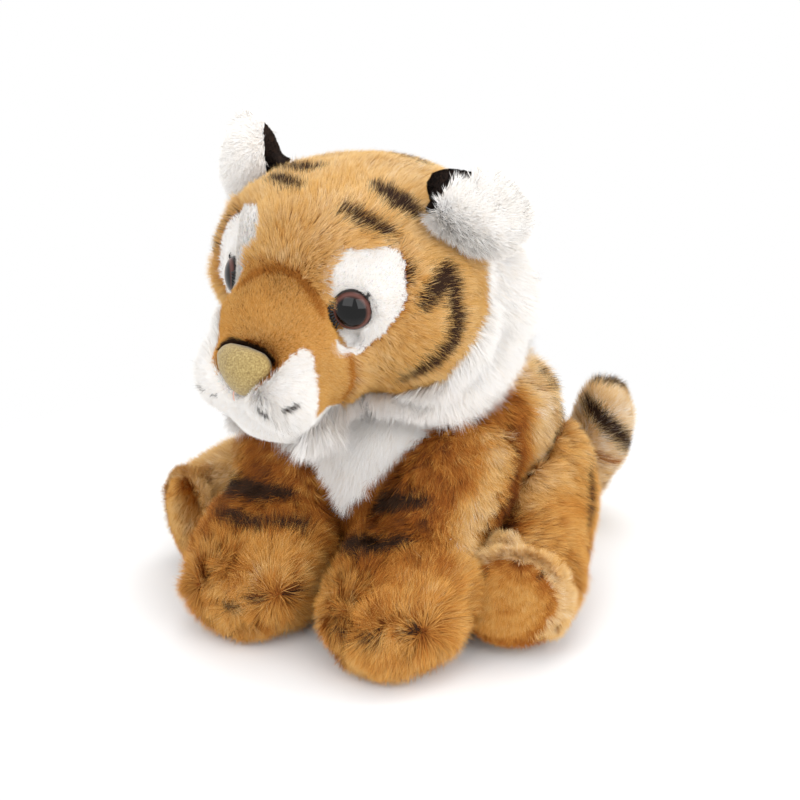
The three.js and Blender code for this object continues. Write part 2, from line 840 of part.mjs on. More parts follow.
function addEye(side, name) {
  const panel = cut(headForm(bodyLining(patchSink)), headForm(bodyLining(longPile)));
  const holes = joined(eyeParts.postHole(), eyeParts.socket());
  const area = onSide(side, eyeParts.patch(0));
  const patch = cut(shared(panel, area), onSide(side, holes), snoutGrown);
  piece(head, `eye_patch_${name}`, "white", patch);
  piece(head, `eye_${name}`, "eye", onSide(side, eyeParts.eye()));
  piece(head, `eye_washer_${name}`, "washer", onSide(side, eyeParts.washer()));
}

const earAngles = [-earFold, -earFold / 2, 0, earFold / 2, earFold];

// The head as the ear meets it while it folds.
function headFromEar(side) {
  const seen = headGrown.clone();
  seen.applyMatrix4(earPlace(side).invert());
  return seenFromSwing(seen, point(0, 0, 0), X, earAngles);
}

function addEar(side, name) {
  const ear = new THREE.Group();
  ear.applyMatrix4(earPlace(side));
  head.add(ear);
  const carrier = headFromEar(side);
  const flap = cut(earFlapForm(), earLiningForm(seamGap), carrier);
  piece(ear, `ear_back_${name}`, "black", joined(flap, earRollForm()));
  piece(ear, `ear_lining_${name}`, "white", cut(earLiningForm(), carrier, earRollForm(seamGap)));
}

function addRuff(side, name) {
  const earSwings = earAngles.map((angle) => {
    const form = joined(earFlapForm(seamGap), earRollForm(seamGap));
    form.rotateX(radians(angle));
    return inEarFrame(form, side);
  });
  const ruff = cut(onSide(side, ruffForm()), headGrown, hollow, joined(...earSwings));
  piece(head, `ruff_${name}`, "white", ruff);
}

function addNeck() {
  piece(tiger, "neck_stuffing", "fill", neckSpace());
}

addTorso();
addNeck();
addHead();
addFace();
for (const [side, name] of [[1, "left"], [-1, "right"]]) {
  addEye(side, name);
  addEar(side, name);
  addRuff(side, name);
}
for (const [side, name] of [[1, "left"], [-1, "right"]]) {
  addFrontLeg(side, name);
  addHindLeg(side, name);
}
addTail();

export default tiger;
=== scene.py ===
# %% [markdown]
# # A plush tiger cub, sitting
#
# The real toy is sewn from long-pile plush over loose fibre filling, with a bag of pellets low in
# the body so that it sits. The solid part gives every form and joint. This script dresses it: a
# backing cloth over each stuffed form, more than a million separate hairs on the cloth, and the
# small hard and stitched things that make the face.

import json
import math

import bpy
import numpy as np
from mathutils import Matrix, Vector
from mathutils.bvhtree import BVHTree
from mathutils.kdtree import KDTree

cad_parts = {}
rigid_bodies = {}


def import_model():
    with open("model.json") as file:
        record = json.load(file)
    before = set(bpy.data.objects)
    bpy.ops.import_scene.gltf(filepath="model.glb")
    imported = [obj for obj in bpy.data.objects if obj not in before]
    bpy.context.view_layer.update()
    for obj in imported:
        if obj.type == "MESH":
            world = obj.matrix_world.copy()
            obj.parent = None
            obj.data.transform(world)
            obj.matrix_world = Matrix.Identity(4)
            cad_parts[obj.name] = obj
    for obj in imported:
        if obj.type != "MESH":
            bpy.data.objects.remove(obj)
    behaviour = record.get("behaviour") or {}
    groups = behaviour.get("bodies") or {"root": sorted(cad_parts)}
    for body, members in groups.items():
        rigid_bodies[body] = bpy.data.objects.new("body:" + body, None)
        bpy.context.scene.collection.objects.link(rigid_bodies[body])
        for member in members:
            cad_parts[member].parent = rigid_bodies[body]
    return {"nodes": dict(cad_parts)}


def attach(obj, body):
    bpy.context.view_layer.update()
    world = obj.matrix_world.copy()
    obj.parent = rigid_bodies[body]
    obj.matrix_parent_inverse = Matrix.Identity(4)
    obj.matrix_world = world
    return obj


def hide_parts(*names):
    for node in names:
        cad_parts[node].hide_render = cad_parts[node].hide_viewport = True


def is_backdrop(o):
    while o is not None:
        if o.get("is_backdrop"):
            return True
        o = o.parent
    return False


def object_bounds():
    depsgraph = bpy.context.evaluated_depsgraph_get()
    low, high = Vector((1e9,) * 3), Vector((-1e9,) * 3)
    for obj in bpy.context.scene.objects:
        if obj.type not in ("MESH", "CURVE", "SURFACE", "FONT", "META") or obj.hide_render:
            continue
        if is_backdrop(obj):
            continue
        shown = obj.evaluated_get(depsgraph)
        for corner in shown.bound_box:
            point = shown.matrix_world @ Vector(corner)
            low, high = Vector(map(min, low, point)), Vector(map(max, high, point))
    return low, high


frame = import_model()
cad_low, cad_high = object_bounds()
nodes = frame["nodes"]
bpy.ops.object.select_all(action="DESELECT")
print("the part measures", [round(1000 * (h - l), 1) for l, h in zip(cad_low, cad_high)], "mm")

# %% Lengths are written in millimetres, and the head has a frame of its own
MM = 0.001
SIDES = (("left", 1), ("right", -1))  # the toy's own sides, and the sign of their x
HEAD_PIVOT = np.array([0.0, -15.0, 92.0])
HEAD_TURN = math.radians(-12.4)
TURN = np.array([[math.cos(HEAD_TURN), -math.sin(HEAD_TURN), 0.0],
                 [math.sin(HEAD_TURN), math.cos(HEAD_TURN), 0.0],
                 [0.0, 0.0, 1.0]])
print("the head turns by", round(math.degrees(HEAD_TURN), 1), "degrees about", HEAD_PIVOT.tolist())


def from_head(points):
    """Points in the head's own frame, given in the toy's frame."""
    return np.asarray(points, float) @ TURN.T + HEAD_PIVOT


def into_head(points):
    """Points in the toy's frame, given in the head's own frame."""
    return (np.asarray(points, float) - HEAD_PIVOT) @ TURN


def unit(vectors):
    return vectors / np.maximum(np.linalg.norm(vectors, axis=-1, keepdims=True), 1e-9)


def smooth(low, high, value):
    """0 at low, 1 at high, and a soft slope between them."""
    t = np.clip((value - low) / (high - low), 0, 1)
    return t * t * (3 - 2 * t)


def only(*objects):
    """Selects these objects alone."""
    bpy.ops.object.select_all(action="DESELECT")
    for each in objects:
        each.select_set(True)
    bpy.context.view_layer.objects.active = objects[0]


def soften(piece):
    only(piece)
    bpy.ops.object.shade_smooth()


def placed(name, data):
    piece = bpy.data.objects.new(name, data)
    bpy.context.scene.collection.objects.link(piece)
    return piece


def applied(piece, kind, **settings):
    """Adds a modifier, sets it and applies it."""
    only(piece)
    modifier = piece.modifiers.new(kind.lower(), kind)
    for key, value in settings.items():
        setattr(modifier, key, value)
    bpy.ops.object.modifier_apply(modifier=modifier.name)


# %% [markdown]
# ## Stuffed forms
#
# A sewn and stuffed form is round and closed, without the facets of the solid. A cloth simulation
# would swell each form away from its neighbours and from the joints, so each form is made another
# way: the solids of one form are joined, wrapped in one skin of small faces, and smoothed.


# %% One closed skin round the solids of a stuffed form
WELD = 0.02  # vertices nearer to each other than this become one


def wrapped(name, members, voxel, rounds):
    """A skin with faces of this size, in millimetres, smoothed this many times."""
    copies = [placed(name, nodes[member].data.copy()) for member in members]
    only(*copies)
    if len(copies) > 1:
        bpy.ops.object.join()
    piece = copies[0]
    piece.name = name
    only(piece)
    bpy.ops.object.mode_set(mode="EDIT")
    bpy.ops.mesh.select_all(action="SELECT")
    bpy.ops.mesh.remove_doubles(threshold=WELD * MM)
    bpy.ops.object.mode_set(mode="OBJECT")
    applied(piece, "REMESH", mode="VOXEL", voxel_size=voxel * MM)
    keep_outer_skin(piece)
    applied(piece, "SMOOTH", factor=0.5, iterations=rounds)
    piece.data.materials.clear()
    return piece


def keep_outer_skin(piece):
    """Deletes skins that lie inside the outer one."""
    places = vertices_of(piece)
    only(piece)
    bpy.ops.object.mode_set(mode="EDIT")
    bpy.ops.mesh.select_all(action="DESELECT")
    bpy.ops.object.mode_set(mode="OBJECT")
    piece.data.vertices[int(places[:, 0].argmax())].select = True
    bpy.ops.object.mode_set(mode="EDIT")
    bpy.ops.mesh.select_linked()
    bpy.ops.mesh.select_all(action="INVERT")
    bpy.ops.mesh.delete(type="VERT")
    bpy.ops.object.mode_set(mode="OBJECT")


def triples(items, key, kind=np.float32):
    """One property of all these items, three values for each."""
    flat = np.empty(3 * len(items), kind)
    items.foreach_get(key, flat)
    return flat.reshape(-1, 3)


def fill(items, key, values, kind=np.float32):
    items.foreach_set(key, np.asarray(values).astype(kind).ravel())


def vertices_of(piece):
    """Places of a piece's vertices in millimetres."""
    return triples(piece.data.vertices, "co").astype(float) / MM


def triangles_of(piece):
    piece.data.calc_loop_triangles()
    return triples(piece.data.loop_triangles, "vertices", np.int32)


def tree_of(places, triangles):
    """A tree that finds the nearest of these triangles."""
    return BVHTree.FromPolygons(places.tolist(), triangles.tolist())


# %% The stuffed forms
HEAD_SOFT = ["head_skin", "head_stuffing", "snout_skin", "snout_stuffing", "muzzle_skin",
             "muzzle_stuffing", "eye_patch_left", "eye_patch_right", "ruff_left", "ruff_right"]
ROUNDS, EAR_ROUNDS = 14, 6
# Each form has the body that it moves with, its solids, and the size of its faces.
FORMS = {
    "torso_cloth": ("torso", ["torso_skin", "torso_stuffing", "pellet_pouch", "chest_bib"], 2.4),
    "head_cloth": ("head", HEAD_SOFT, 2.0),
    "tail_cloth": ("tail", ["tail_skin", "tail_stuffing"], 2.0),
    "neck_cloth": ("neck", ["neck_stuffing"], 2.4),
}
for side, _ in SIDES:
    leg = f"front_leg_{side}"
    FORMS[f"{leg}_cloth"] = (leg, [f"{leg}_skin", f"{leg}_stuffing"], 2.2)
    leg = f"hind_leg_{side}"
    FORMS[f"{leg}_cloth"] = (leg, [f"{leg}_skin", f"{leg}_stuffing", f"hind_sole_{side}"], 2.2)
    FORMS[f"ear_{side}_cloth"] = (f"ear_{side}", [f"ear_back_{side}", f"ear_lining_{side}"], 1.4)

forms = {}
for name, (body, members, voxel) in FORMS.items():
    piece = wrapped(name, members, voxel, EAR_ROUNDS if name.startswith("ear") else ROUNDS)
    outer, triangles = vertices_of(piece), triangles_of(piece)
    forms[name] = {
        "piece": piece, "body": body, "members": members,
        "outer": outer, "triangles": triangles,
        "normals": triples(piece.data.vertex_normals, "vector").astype(float),
        "tree": tree_of(outer, triangles),
    }
    print(name, len(outer), "vertices")

# %% [markdown]
# ## Room for the hair
#
# Where two stuffed forms press on each other, no hair can stand. From each vertex of a form a line
# goes straight out, and the distance to the next form is the room that the hair has there. Short
# flat hair still grows there, because a lifted leg uncovers it.


# %% The room over each vertex
def room_over(name, furthest=14.0):
    """Distance to the next form, straight out from each vertex."""
    outer, normals = forms[name]["outer"], forms[name]["normals"]
    room = np.full(len(outer), furthest)
    for other_name, other in forms.items():
        if other_name == name:
            continue
        low, high = other["outer"].min(0) - furthest, other["outer"].max(0) + furthest
        for index in np.nonzero(((outer > low) & (outer < high)).all(1))[0]:
            place, normal = Vector(outer[index]), Vector(normals[index])
            spot, face, _, _ = other["tree"].find_nearest(place, furthest)
            if spot is not None and (place - spot).dot(face) < 0:
                room[index] = 0.0
                continue
            spot, _, _, distance = other["tree"].ray_cast(place, normal, furthest)
            if spot is not None:
                room[index] = min(room[index], distance)
    return room


for name, form in forms.items():
    form["room"] = room_over(name)
    print(name, "share without room", round(float((form["room"] < 2).mean()), 2))

# %% [markdown]
# ## The backing cloth
#
# Plush is a knitted backing with hair standing on it, so the cloth lies deeper than the form that
# the eye sees. Each skin is drawn in along its normals by that depth.

# %% Drawing the cloth in under the hair
USUAL_DEPTH = 2.0
CLOTH_DEPTH = {"head_cloth": 1.6, "ear_left_cloth": 0.8, "ear_right_cloth": 0.8, "neck_cloth": 0.5}
for name, form in forms.items():
    depth = CLOTH_DEPTH.get(name, USUAL_DEPTH)
    cloth = form["outer"] - depth * form["normals"]
    form["cloth"] = cloth
    fill(form["piece"].data.vertices, "co", cloth * MM)
    form["piece"].data.update()
    soften(form["piece"])
    print(name, "drawn in by", depth, "mm")

# %% [markdown]
# ## Hair
#
# A hair is a narrow blade of three points, two at its root and one at its tip. The long hairs in
# the ears are bent, with two more points at their middle. A hair leans with the nap, and its tip is
# drawn towards the tip of the tuft it belongs to. More than a million of them are laid as arrays,
# because no tool places each by hand.

# %% Slow waves over the toy, for uneven nap, length and tone
rng = np.random.default_rng(7)
WAVES = rng.normal(size=(3, 9, 3))
PHASES = rng.uniform(0, 2 * math.pi, (3, 9))
print(len(WAVES), "kinds of slow waves")


def waves(places, length, kind=0):
    """A smooth random value from about -1 to 1 that changes over this many millimetres."""
    ways = WAVES[kind] * 2 * math.pi / length
    return np.sin(places @ ways.T + PHASES[kind]).sum(1) / 4.0


# %% Picking the roots of the hairs on a form
LEAST_SHARE = 0.25  # of the usual number of hairs, where another form lies close


def roots_on(name, count, choose, seed):
    """Random places on a form, where choose gives the share of hairs at a place."""
    form = forms[name]
    source = np.random.default_rng(seed)
    tri = form["triangles"]
    a, b, c = (form["outer"][tri[:, k]] for k in range(3))
    area = np.linalg.norm(np.cross(b - a, c - a), axis=1)
    weight = LEAST_SHARE + (1 - LEAST_SHARE) * smooth(0.8, 2.5, form["room"])[tri].mean(1)
    middle = (a + b + c) / 3
    if choose is not None:
        weight = weight * choose(middle)
    chance = area * weight
    face = source.choice(len(tri), count, p=chance / chance.sum())
    r, s = source.random(count), source.random(count)
    flip = r + s > 1
    r[flip], s[flip] = 1 - r[flip], 1 - s[flip]
    share = np.stack([1 - r - s, r, s], 1)[:, :, None]

    def mixed(values):
        return (values[tri[face]] * share).sum(1)

    room = mixed(form["room"][:, None])[:, 0]
    normal = unit(mixed(form["normals"]))
    return mixed(form["outer"]), mixed(form["cloth"]), normal, room, chance.sum() / 2, source


# %% Growing the hairs of one pile
SWIRL, BEND = 26, 12  # degrees: slow turns of the nap, and the bend of a hair at its middle
UNEVEN = 0.18  # slow changes of a pile's length, as a share of it
FREE_ROOM, SHORTEST = 7.0, 0.28  # room that a hair needs, and its least share of its length
ROOT_DEPTH, OFF_FLOOR = 0.3, 0.25  # under the cloth, and over the floor
CALM, WHITE_CALM = 0.65, 0.35  # share of the form's normal in the shading of a hair


def grow(
    name, form_name, count, comb, tone, length, lean=60.0, width=0.27, tuft=3.0, gather=0.45,
    choose=None, seed=1, wander=24.0, slot="tan_plush", bent=False, free=False,
):
    """One pile on one form. Angles are in degrees: lean from upright, wander from the nap."""
    form = forms[form_name]
    place, root, normal, room, area, source = roots_on(form_name, count, choose, seed)
    way = comb(place)
    way = unit(way - (way * normal).sum(1)[:, None] * normal)
    across = np.cross(normal, way)
    angle = np.radians(source.normal(0, wander, count) + SWIRL * waves(place, 55, 0))
    way = np.cos(angle)[:, None] * way + np.sin(angle)[:, None] * across
    reach = length(place) if callable(length) else np.full(count, float(length))
    reach = reach * (1 + UNEVEN * waves(place, 34, 1)) * source.uniform(0.72, 1.12, count)
    fits = np.ones(count) if free else np.clip(room / FREE_ROOM, SHORTEST, 1)
    reach = reach * fits
    tilt = np.radians(np.clip(lean + 7 * waves(place, 24, 2) + source.normal(0, 8, count), 8, 82))
    tilt = np.maximum(tilt, np.radians(80) * (1 - fits))
    low, high = tilt - np.radians(BEND), tilt + np.radians(BEND)
    first = np.cos(low)[:, None] * normal + np.sin(low)[:, None] * way
    second = unit(np.cos(high)[:, None] * normal + np.sin(high)[:, None] * way)
    root = root - ROOT_DEPTH * normal
    middle = root + 0.5 * reach[:, None] * first
    tip = middle + 0.5 * reach[:, None] * second
    tip, middle, tuft_value = gathered(root, middle, tip, tuft, gather, source)
    for points in (middle, tip):
        points[:, 2] = np.maximum(points[:, 2], OFF_FLOOR)
    seen = 0.5 * (middle + tip)
    seen -= ((seen - place) * normal).sum(1)[:, None] * normal
    tones = np.clip(tone(place, seen, source, tuft_value), 0.012, 0.988)
    widths = width * source.uniform(0.75, 1.2, count)
    calm = WHITE_CALM if slot == "white_plush" else CALM
    piece = blades(name, root, middle if bent else None, tip, normal, widths, tones, source, calm)
    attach(piece, form["body"])
    print(name, count, "hairs,", round(count / max(area, 1), 1), "to the square millimetre")


def gathered(root, middle, tip, spacing, share, source):
    """Draws hairs into tufts, and gives each hair its tuft's random value."""
    count = len(root)
    area = max(count / 5.0, 1)
    heads = source.choice(count, max(int(area / spacing**2), 8), replace=False)
    tree = KDTree(len(heads))
    for index, head in enumerate(heads):
        tree.insert(root[head], index)
    tree.balance()
    nearest = np.array([tree.find(spot)[1] for spot in root])
    head = heads[nearest]
    near = np.exp(-((np.linalg.norm(root - root[head], axis=1) / (1.4 * spacing)) ** 2))
    pull = (share * near * source.uniform(0.5, 1.0, count))[:, None]
    tip = tip + pull * (tip[head] - tip)
    middle = middle + 0.35 * pull * (middle[head] - middle)
    return tip, middle, source.normal(0, 1, len(heads))[nearest]


def blades(name, root, middle, tip, normal, width, tones, source, calm):
    """One mesh of blades, with a map of each hair's tone and of the height along it.

    Light falls on pile as on one soft surface, so a hair is shaded by the share calm with the
    normal of the form it stands on.
    """
    count = len(root)
    along = unit(tip - root)
    side = unit(np.cross(along, normal))
    spin = np.radians(source.normal(0, 30, count))[:, None]
    side = unit(np.cos(spin) * side + np.sin(spin) * np.cross(along, side))
    half = 0.5 * width[:, None] * side
    left, right = tones - 0.006, tones + 0.006
    if middle is None:
        places = np.stack([root - half, root + half, tip], 1)
        corners, starts = np.array([0, 1, 2]), np.array([0])
        up, over = [0.02, 0.02, 0.98], [left, right, tones]
    else:
        thin = 0.85 * half
        places = np.stack([root - half, root + half, middle + thin, middle - thin, tip], 1)
        corners, starts = np.array([0, 1, 2, 3, 3, 2, 4]), np.array([0, 4])
        up = [0.02, 0.02, 0.5, 0.5, 0.5, 0.5, 0.98]
        over = [left, right, right, left, left, right, tones]
    hair, points = np.arange(count)[:, None], places.shape[1]
    mesh = bpy.data.meshes.new(name)
    mesh.vertices.add(count * points)
    fill(mesh.vertices, "co", places * MM)
    mesh.loops.add(count * len(corners))
    fill(mesh.loops, "vertex_index", hair * points + corners, np.int32)
    mesh.polygons.add(count * len(starts))
    fill(mesh.polygons, "loop_start", hair * len(corners) + starts, np.int32)
    shading = mesh.attributes.new("custom_normal", "FLOAT_VECTOR", "POINT")
    own = unit(np.cross(side, along))
    facing = unit(calm * normal + (1 - calm) * own + 0.2 * along)
    fill(shading.data, "vector", np.repeat(facing, points, 0))
    mesh.update(calc_edges=True)
    over = np.stack(over, 1)
    flat = np.stack([over, np.broadcast_to(up, over.shape)], 2)
    fill(mesh.uv_layers.new(name="OFBake").data, "uv", flat)
    mesh.materials.append(pile_material)
    return placed(name, mesh)


# %% [markdown]
# ## Colour of the hair
#
# Every hair is darker at its root than at its tip, and each hair has one tone on a scale from black
# through rust and gold to white. Two colour ramps, one for roots and one for tips, hold that scale,
# and the hair's map mixes them. One node group holds both ramps, for all the piles.


# %% Colours are written as screen values, from 0 to 255
def colour(red, green, blue):
    def linear(value):
        value /= 255
        return value / 12.92 if value <= 0.04045 else ((value + 0.055) / 1.055) ** 2.4

    return (linear(red), linear(green), linear(blue), 1.0)


# Each tone has its colour at the root and at the tip of a hair.
TONES = [
    (0.00, (16, 13, 12), (38, 32, 30)),
    (0.12, (36, 20, 12), (80, 54, 36)),
    (0.25, (72, 30, 8), (144, 82, 34)),
    (0.38, (96, 42, 8), (190, 110, 38)),
    (0.50, (146, 80, 22), (230, 166, 80)),
    (0.60, (168, 104, 40), (236, 188, 110)),
    (0.72, (194, 138, 74), (242, 208, 148)),
    (0.82, (216, 176, 124), (246, 224, 186)),
    (0.90, (232, 214, 194), (248, 240, 228)),
    (1.00, (246, 246, 247), (254, 254, 254)),
]


# %% Shader nodes
def added(tree, kind, settings=None, **inputs):
    """A new node, with its settings and with values for its inputs."""
    node = tree.nodes.new("ShaderNode" + kind)
    for key, value in (settings or {}).items():
        setattr(node, key, value)
    for key, value in inputs.items():
        node.inputs[key].default_value = value
    return node


def wired(tree, *links):
    """Links, each given as a node and its output, and a node and its input."""
    for giver, leaving, taker, entering in links:
        tree.links.new(giver.outputs[leaving], taker.inputs[entering])


def ramp(tree, stops):
    """A colour ramp through pairs of a place from 0 to 1 and a colour."""
    node = added(tree, "ValToRGB")
    while len(node.color_ramp.elements) < len(stops):
        node.color_ramp.elements.new(1.0)
    for element, (place, shade) in zip(node.color_ramp.elements, stops):
        element.position = place
        element.color = colour(*shade)
    return node


def new_material(name, roughness, **sockets):
    material = bpy.data.materials.new(name)
    material.use_nodes = True
    shader = material.node_tree.nodes["Principled BSDF"]
    for key, value in {"Roughness": roughness, **sockets}.items():
        shader.inputs[key.replace("_", " ")].default_value = value
    return material, material.node_tree, shader


def new_group(name, entering, leaving):
    """An empty node group, with its sockets given as names and kinds."""
    tree = bpy.data.node_groups.new(name, "ShaderNodeTree")
    for way, sockets in (("INPUT", entering), ("OUTPUT", leaving)):
        for key, kind in sockets.items():
            tree.interface.new_socket(key, in_out=way, socket_type="NodeSocket" + kind)
    return tree, tree.nodes.new("NodeGroupInput"), tree.nodes.new("NodeGroupOutput")


# %% The node group that gives a hair its colour
pile_tree, entry, leave = new_group(
    "pile colour", {"Tone": "Float", "Height": "Float"}, {"Colour": "Color"}
)
roots = ramp(pile_tree, [(place, low) for place, low, _ in TONES])
tips = ramp(pile_tree, [(place, high) for place, _, high in TONES])
mix = added(pile_tree, "Mix", {"data_type": "RGBA"})
wired(
    pile_tree, (entry, "Tone", roots, "Fac"), (entry, "Tone", tips, "Fac"),
    (entry, "Height", mix, "Factor"), (roots, "Color", mix, "A"), (tips, "Color", mix, "B"),
    (mix, "Result", leave, "Colour"),
)

# %% The material of every pile
pile_material, tree, shader = new_material("pile", 0.62, Specular_IOR_Level=0.1)
uv = added(tree, "UVMap", {"uv_map": "OFBake"})
parts = added(tree, "SeparateXYZ")
group = added(tree, "Group", {"node_tree": pile_tree})
wired(
    tree, (uv, "UV", parts, "Vector"), (parts, "X", group, "Tone"), (parts, "Y", group, "Height"),
    (group, "Colour", shader, "Base Color"),
)
print("tones of the pile:", len(TONES))

# %% [markdown]
# ## Stripes
#
# The stripes of such a toy are printed or airbrushed over the pile, so their edges are soft. Each is
# a path over the form with a half-width at each point, in millimetres. A hair near enough to a path
# is dark, and near the edge only some of the hairs are.

# %% The paths of the head, in its own frame
FOREHEAD = [
    [(20, -27.5, 85.4, 2.4), (25, -27.3, 83.6, 4.2), (31, -27, 81.2, 4.8), (38, -26.3, 78.4, 2.6)],
    [(17.5, -42.2, 80.6, 1.4), (24, -41.8, 78.6, 2.8), (32, -40.5, 75.8, 3), (39, -38.7, 73.4, 1.6)],
    [(-6.5, -40.2, 83.2, 1.2), (-14, -38.4, 83, 2.8), (-22, -35.8, 82, 3), (-31, -32.6, 80, 1.6)],
    [(-9, -27, 87.4, 1.2), (-16, -28, 86.8, 2.8), (-24, -27, 85, 3), (-32, -25, 82, 2)],
]
CHEEK = [
    [(55.6, -28.4, 60, 3.8), (56.7, -35.4, 55.2, 3.8), (55.2, -39.4, 50.6, 2)],
    [(57, -28, 58, 3), (59.5, -28.6, 50, 3.2), (60.6, -28.9, 43, 3.2), (59, -30, 35.6, 3.2),
     (54, -34.3, 27.4, 2.8), (47, -37.4, 21.4, 2), (43, -38.4, 18.6, 1)],
    [(44.5, -39.8, 65.5, 1.2), (47.6, -38.8, 61.5, 2.2), (49, -39.4, 57.8, 1.6)],
]
NAPE = [
    [(-13, 8, 86, 1.4), (0, 10, 87, 3.4), (13, 8, 86, 1.4)],
    [(-15, 22, 76, 1.4), (0, 25, 76, 3.6), (15, 22, 76, 1.4)],
    [(-13, 30, 62, 1.4), (0, 33, 61, 3.4), (13, 30, 62, 1.4)],
]
SEAM = [
    [(-17, -62.5, 47, 1.4), (-12, -61.6, 52.2, 1.8), (-5, -61.6, 55.8, 1.8), (3, -61.4, 58.2, 1.8),
     (11.6, -60.8, 56.8, 1.8), (17.4, -60.6, 52.8, 1.8), (21.8, -60, 48.5, 1.8), (24, -59.5, 44, 1.2)],
]
FOLD = [
    [(31.5, -56.8, 35, 0.6), (33.4, -55, 29, 1.2), (32.4, -52.6, 21, 1.6), (29, -51, 14.2, 1.6),
     (24, -50, 9.4, 1)],
]
WHISKERS = [
    [(12.4, -82, 10.4, 0.9), (16.6, -80.9, 9.3, 0.9)],
    [(22.8, -77.8, 12.8, 0.9), (25.4, -75, 14.4, 0.9)],
    [(-20.6, -79, 12, 0.4), (-17.6, -80.6, 11, 0.4)],
    [(-13, -82, 10.4, 0.4), (-10.6, -82.2, 10.2, 0.4)],
    [(-24.8, -75, 17, 0.5), (-25.8, -73, 18, 0.5)],
]


# %% How near a hair is to a path
def gap_to(places, paths):
    """How far each place lies outside the nearest path, in millimetres."""
    best = np.full(len(places), 99.0)
    for path in paths:
        path = np.asarray(path, float)
        for start, end in zip(path[:-1], path[1:]):
            step = end[:3] - start[:3]
            t = np.clip(((places - start[:3]) @ step) / (step @ step), 0, 1)
            gap = np.linalg.norm(places - start[:3] - t[:, None] * step, axis=1)
            best = np.minimum(best, gap - (start[3] + t * (end[3] - start[3])))
    return best


def glow(places, paths, reach):
    """1 on a path, fading to 0 over this many millimetres; it spreads painted light and shade."""
    return np.exp(-((np.maximum(gap_to(places, paths), 0) / reach) ** 2))


def both_sides(paths):
    """The paths and their mirror images."""
    return paths + [[(-x, y, z, w) for x, y, z, w in path] for path in paths]


def on_head(paths):
    """Paths of the head in the toy's frame."""
    return [[(*from_head(spot[:3]), spot[3]) for spot in path] for path in paths]


# %% The paths of the body, and of the painted shade and light by the front legs
BACK_STRIPES = [
    [(26, 50, 94, 1.4), (34, 46, 92, 3.6), (44, 36, 87, 3.8), (51, 26, 81, 1.4)],
    [(18, 57, 82, 1.4), (32, 52, 76, 3.8), (46, 38, 70, 3.4), (52, 26, 64, 1.4)],
    [(18, 60, 64, 1.4), (34, 53, 60, 3.8), (47, 38, 54, 3.2), (53, 27, 50, 1.4)],
    [(16, 58, 42, 1.4), (32, 52, 40, 3.4), (45, 40, 38, 1.4)],
]
SPINE_STRIPES = [
    [(-9, 49, 106, 1.4), (0, 50, 106, 3.4), (9, 49, 106, 1.4)],
    [(-10, 57, 92, 1.4), (0, 59, 92, 3.6), (10, 57, 92, 1.4)],
    [(-10, 62, 74, 1.4), (0, 64, 74, 3.6), (10, 62, 74, 1.4)],
]
LEFT_LEG_STRIPES = [
    [(7, -46, 51, 2.4), (14, -49.5, 53, 4.2), (24, -53, 57, 4.6), (37, -52.6, 61, 2.4)],
    [(8, -60, 40, 2.4), (16, -66.5, 42, 4.6), (27, -69.6, 46, 4.8), (36, -66, 49, 2.8)],
]
RIGHT_LEG_STRIPES = [
    [(-56, -44, 46, 2.4), (-46, -55, 48.6, 5), (-34, -61, 52, 5.4), (-21, -57.4, 52.4, 3)],
    [(-45, -68, 42.6, 1.4), (-35, -72.2, 44.6, 3.2), (-26, -73, 44, 3), (-11, -62.3, 43.4, 2.6)],
]
HAUNCH_STRIPES = [
    [(66, 30, 54, 0.8), (71, 20, 46.5, 2), (74.3, 12, 41, 2), (77, 5, 35.5, 0.8)],
    [(56, 44, 50, 0.8), (64, 38, 40, 2.2), (68, 32, 30, 0.8)],
]
# Painted shade: hairs along the fold behind each front leg and before the haunch are darkened.
CREASE_SHADE = [
    [(48, -1, 89, 0.5), (52.3, -7.6, 81.4, 1.5), (52.6, -8.7, 73.6, 2), (57.6, -21.2, 70.7, 2),
     (58.4, -26.4, 64.5, 2), (58.3, -29.9, 57.6, 2), (56.7, -29.9, 51.1, 2), (56.2, -31.9, 45.5, 1.5)],
]
# Painted light: hairs down the outer edge of each front leg, and on the body beside it, are
# brightened.
LEG_EDGE_LIGHT = [
    [(45, -12, 92, 1.5), (50, -14, 87, 2), (54, -21.9, 82.4, 2), (56.4, -32.8, 73.7, 2.5),
     (56.2, -39.3, 63.9, 3), (54.6, -43.7, 52.9, 3), (54.1, -50.7, 46.1, 2)],
]
TAIL_BAND = [
    [(33, 84, 60, 2.4), (38, 82, 57.5, 3.2), (44, 81.6, 54.6, 3.4), (50, 85.7, 47, 3.4),
     (52.6, 93, 39, 3), (50, 100, 34, 2)],
    [(34, 76, 33, 2), (40, 80, 30, 3), (34, 84, 22, 2)],
    [(28, 98, 44, 2.4), (32, 102, 38, 3.4), (36, 104, 30, 2)],
    [(14, 72, 12, 2), (18, 76, 22, 3.2), (20, 82, 26, 3.2), (22, 92, 22, 3), (22, 96, 12, 2)],
]
TAIL_TIP = [[(38, 94, 63, 1.2), (44, 95, 63.5, 1.8), (50, 98, 61, 1.2)]]
TAIL_FAINT = [[(44, 83, 35.4, 0.8), (47, 87, 32, 1.6), (51, 94, 28, 0.8)]]
CLAWS = {
    "left": [
        [(25.6, -93, 21.4, 1.5), (28.4, -93.6, 20.6, 1.3)],
        [(38, -93.8, 22, 1.8), (41.4, -93.2, 21.6, 1.8)],
        [(50.4, -88.4, 25.4, 1.6), (53, -86, 27, 1.8)],
    ],
    "right": [
        [(-15.6, -91, 24, 1.4), (-13, -90.2, 23, 1.4)],
        [(-23.6, -93, 20.6, 1.1), (-21, -93, 20, 1.1)],
        [(-5.6, -78, 21, 1.3), (-4, -75.8, 24.6, 1.6)],
    ],
}
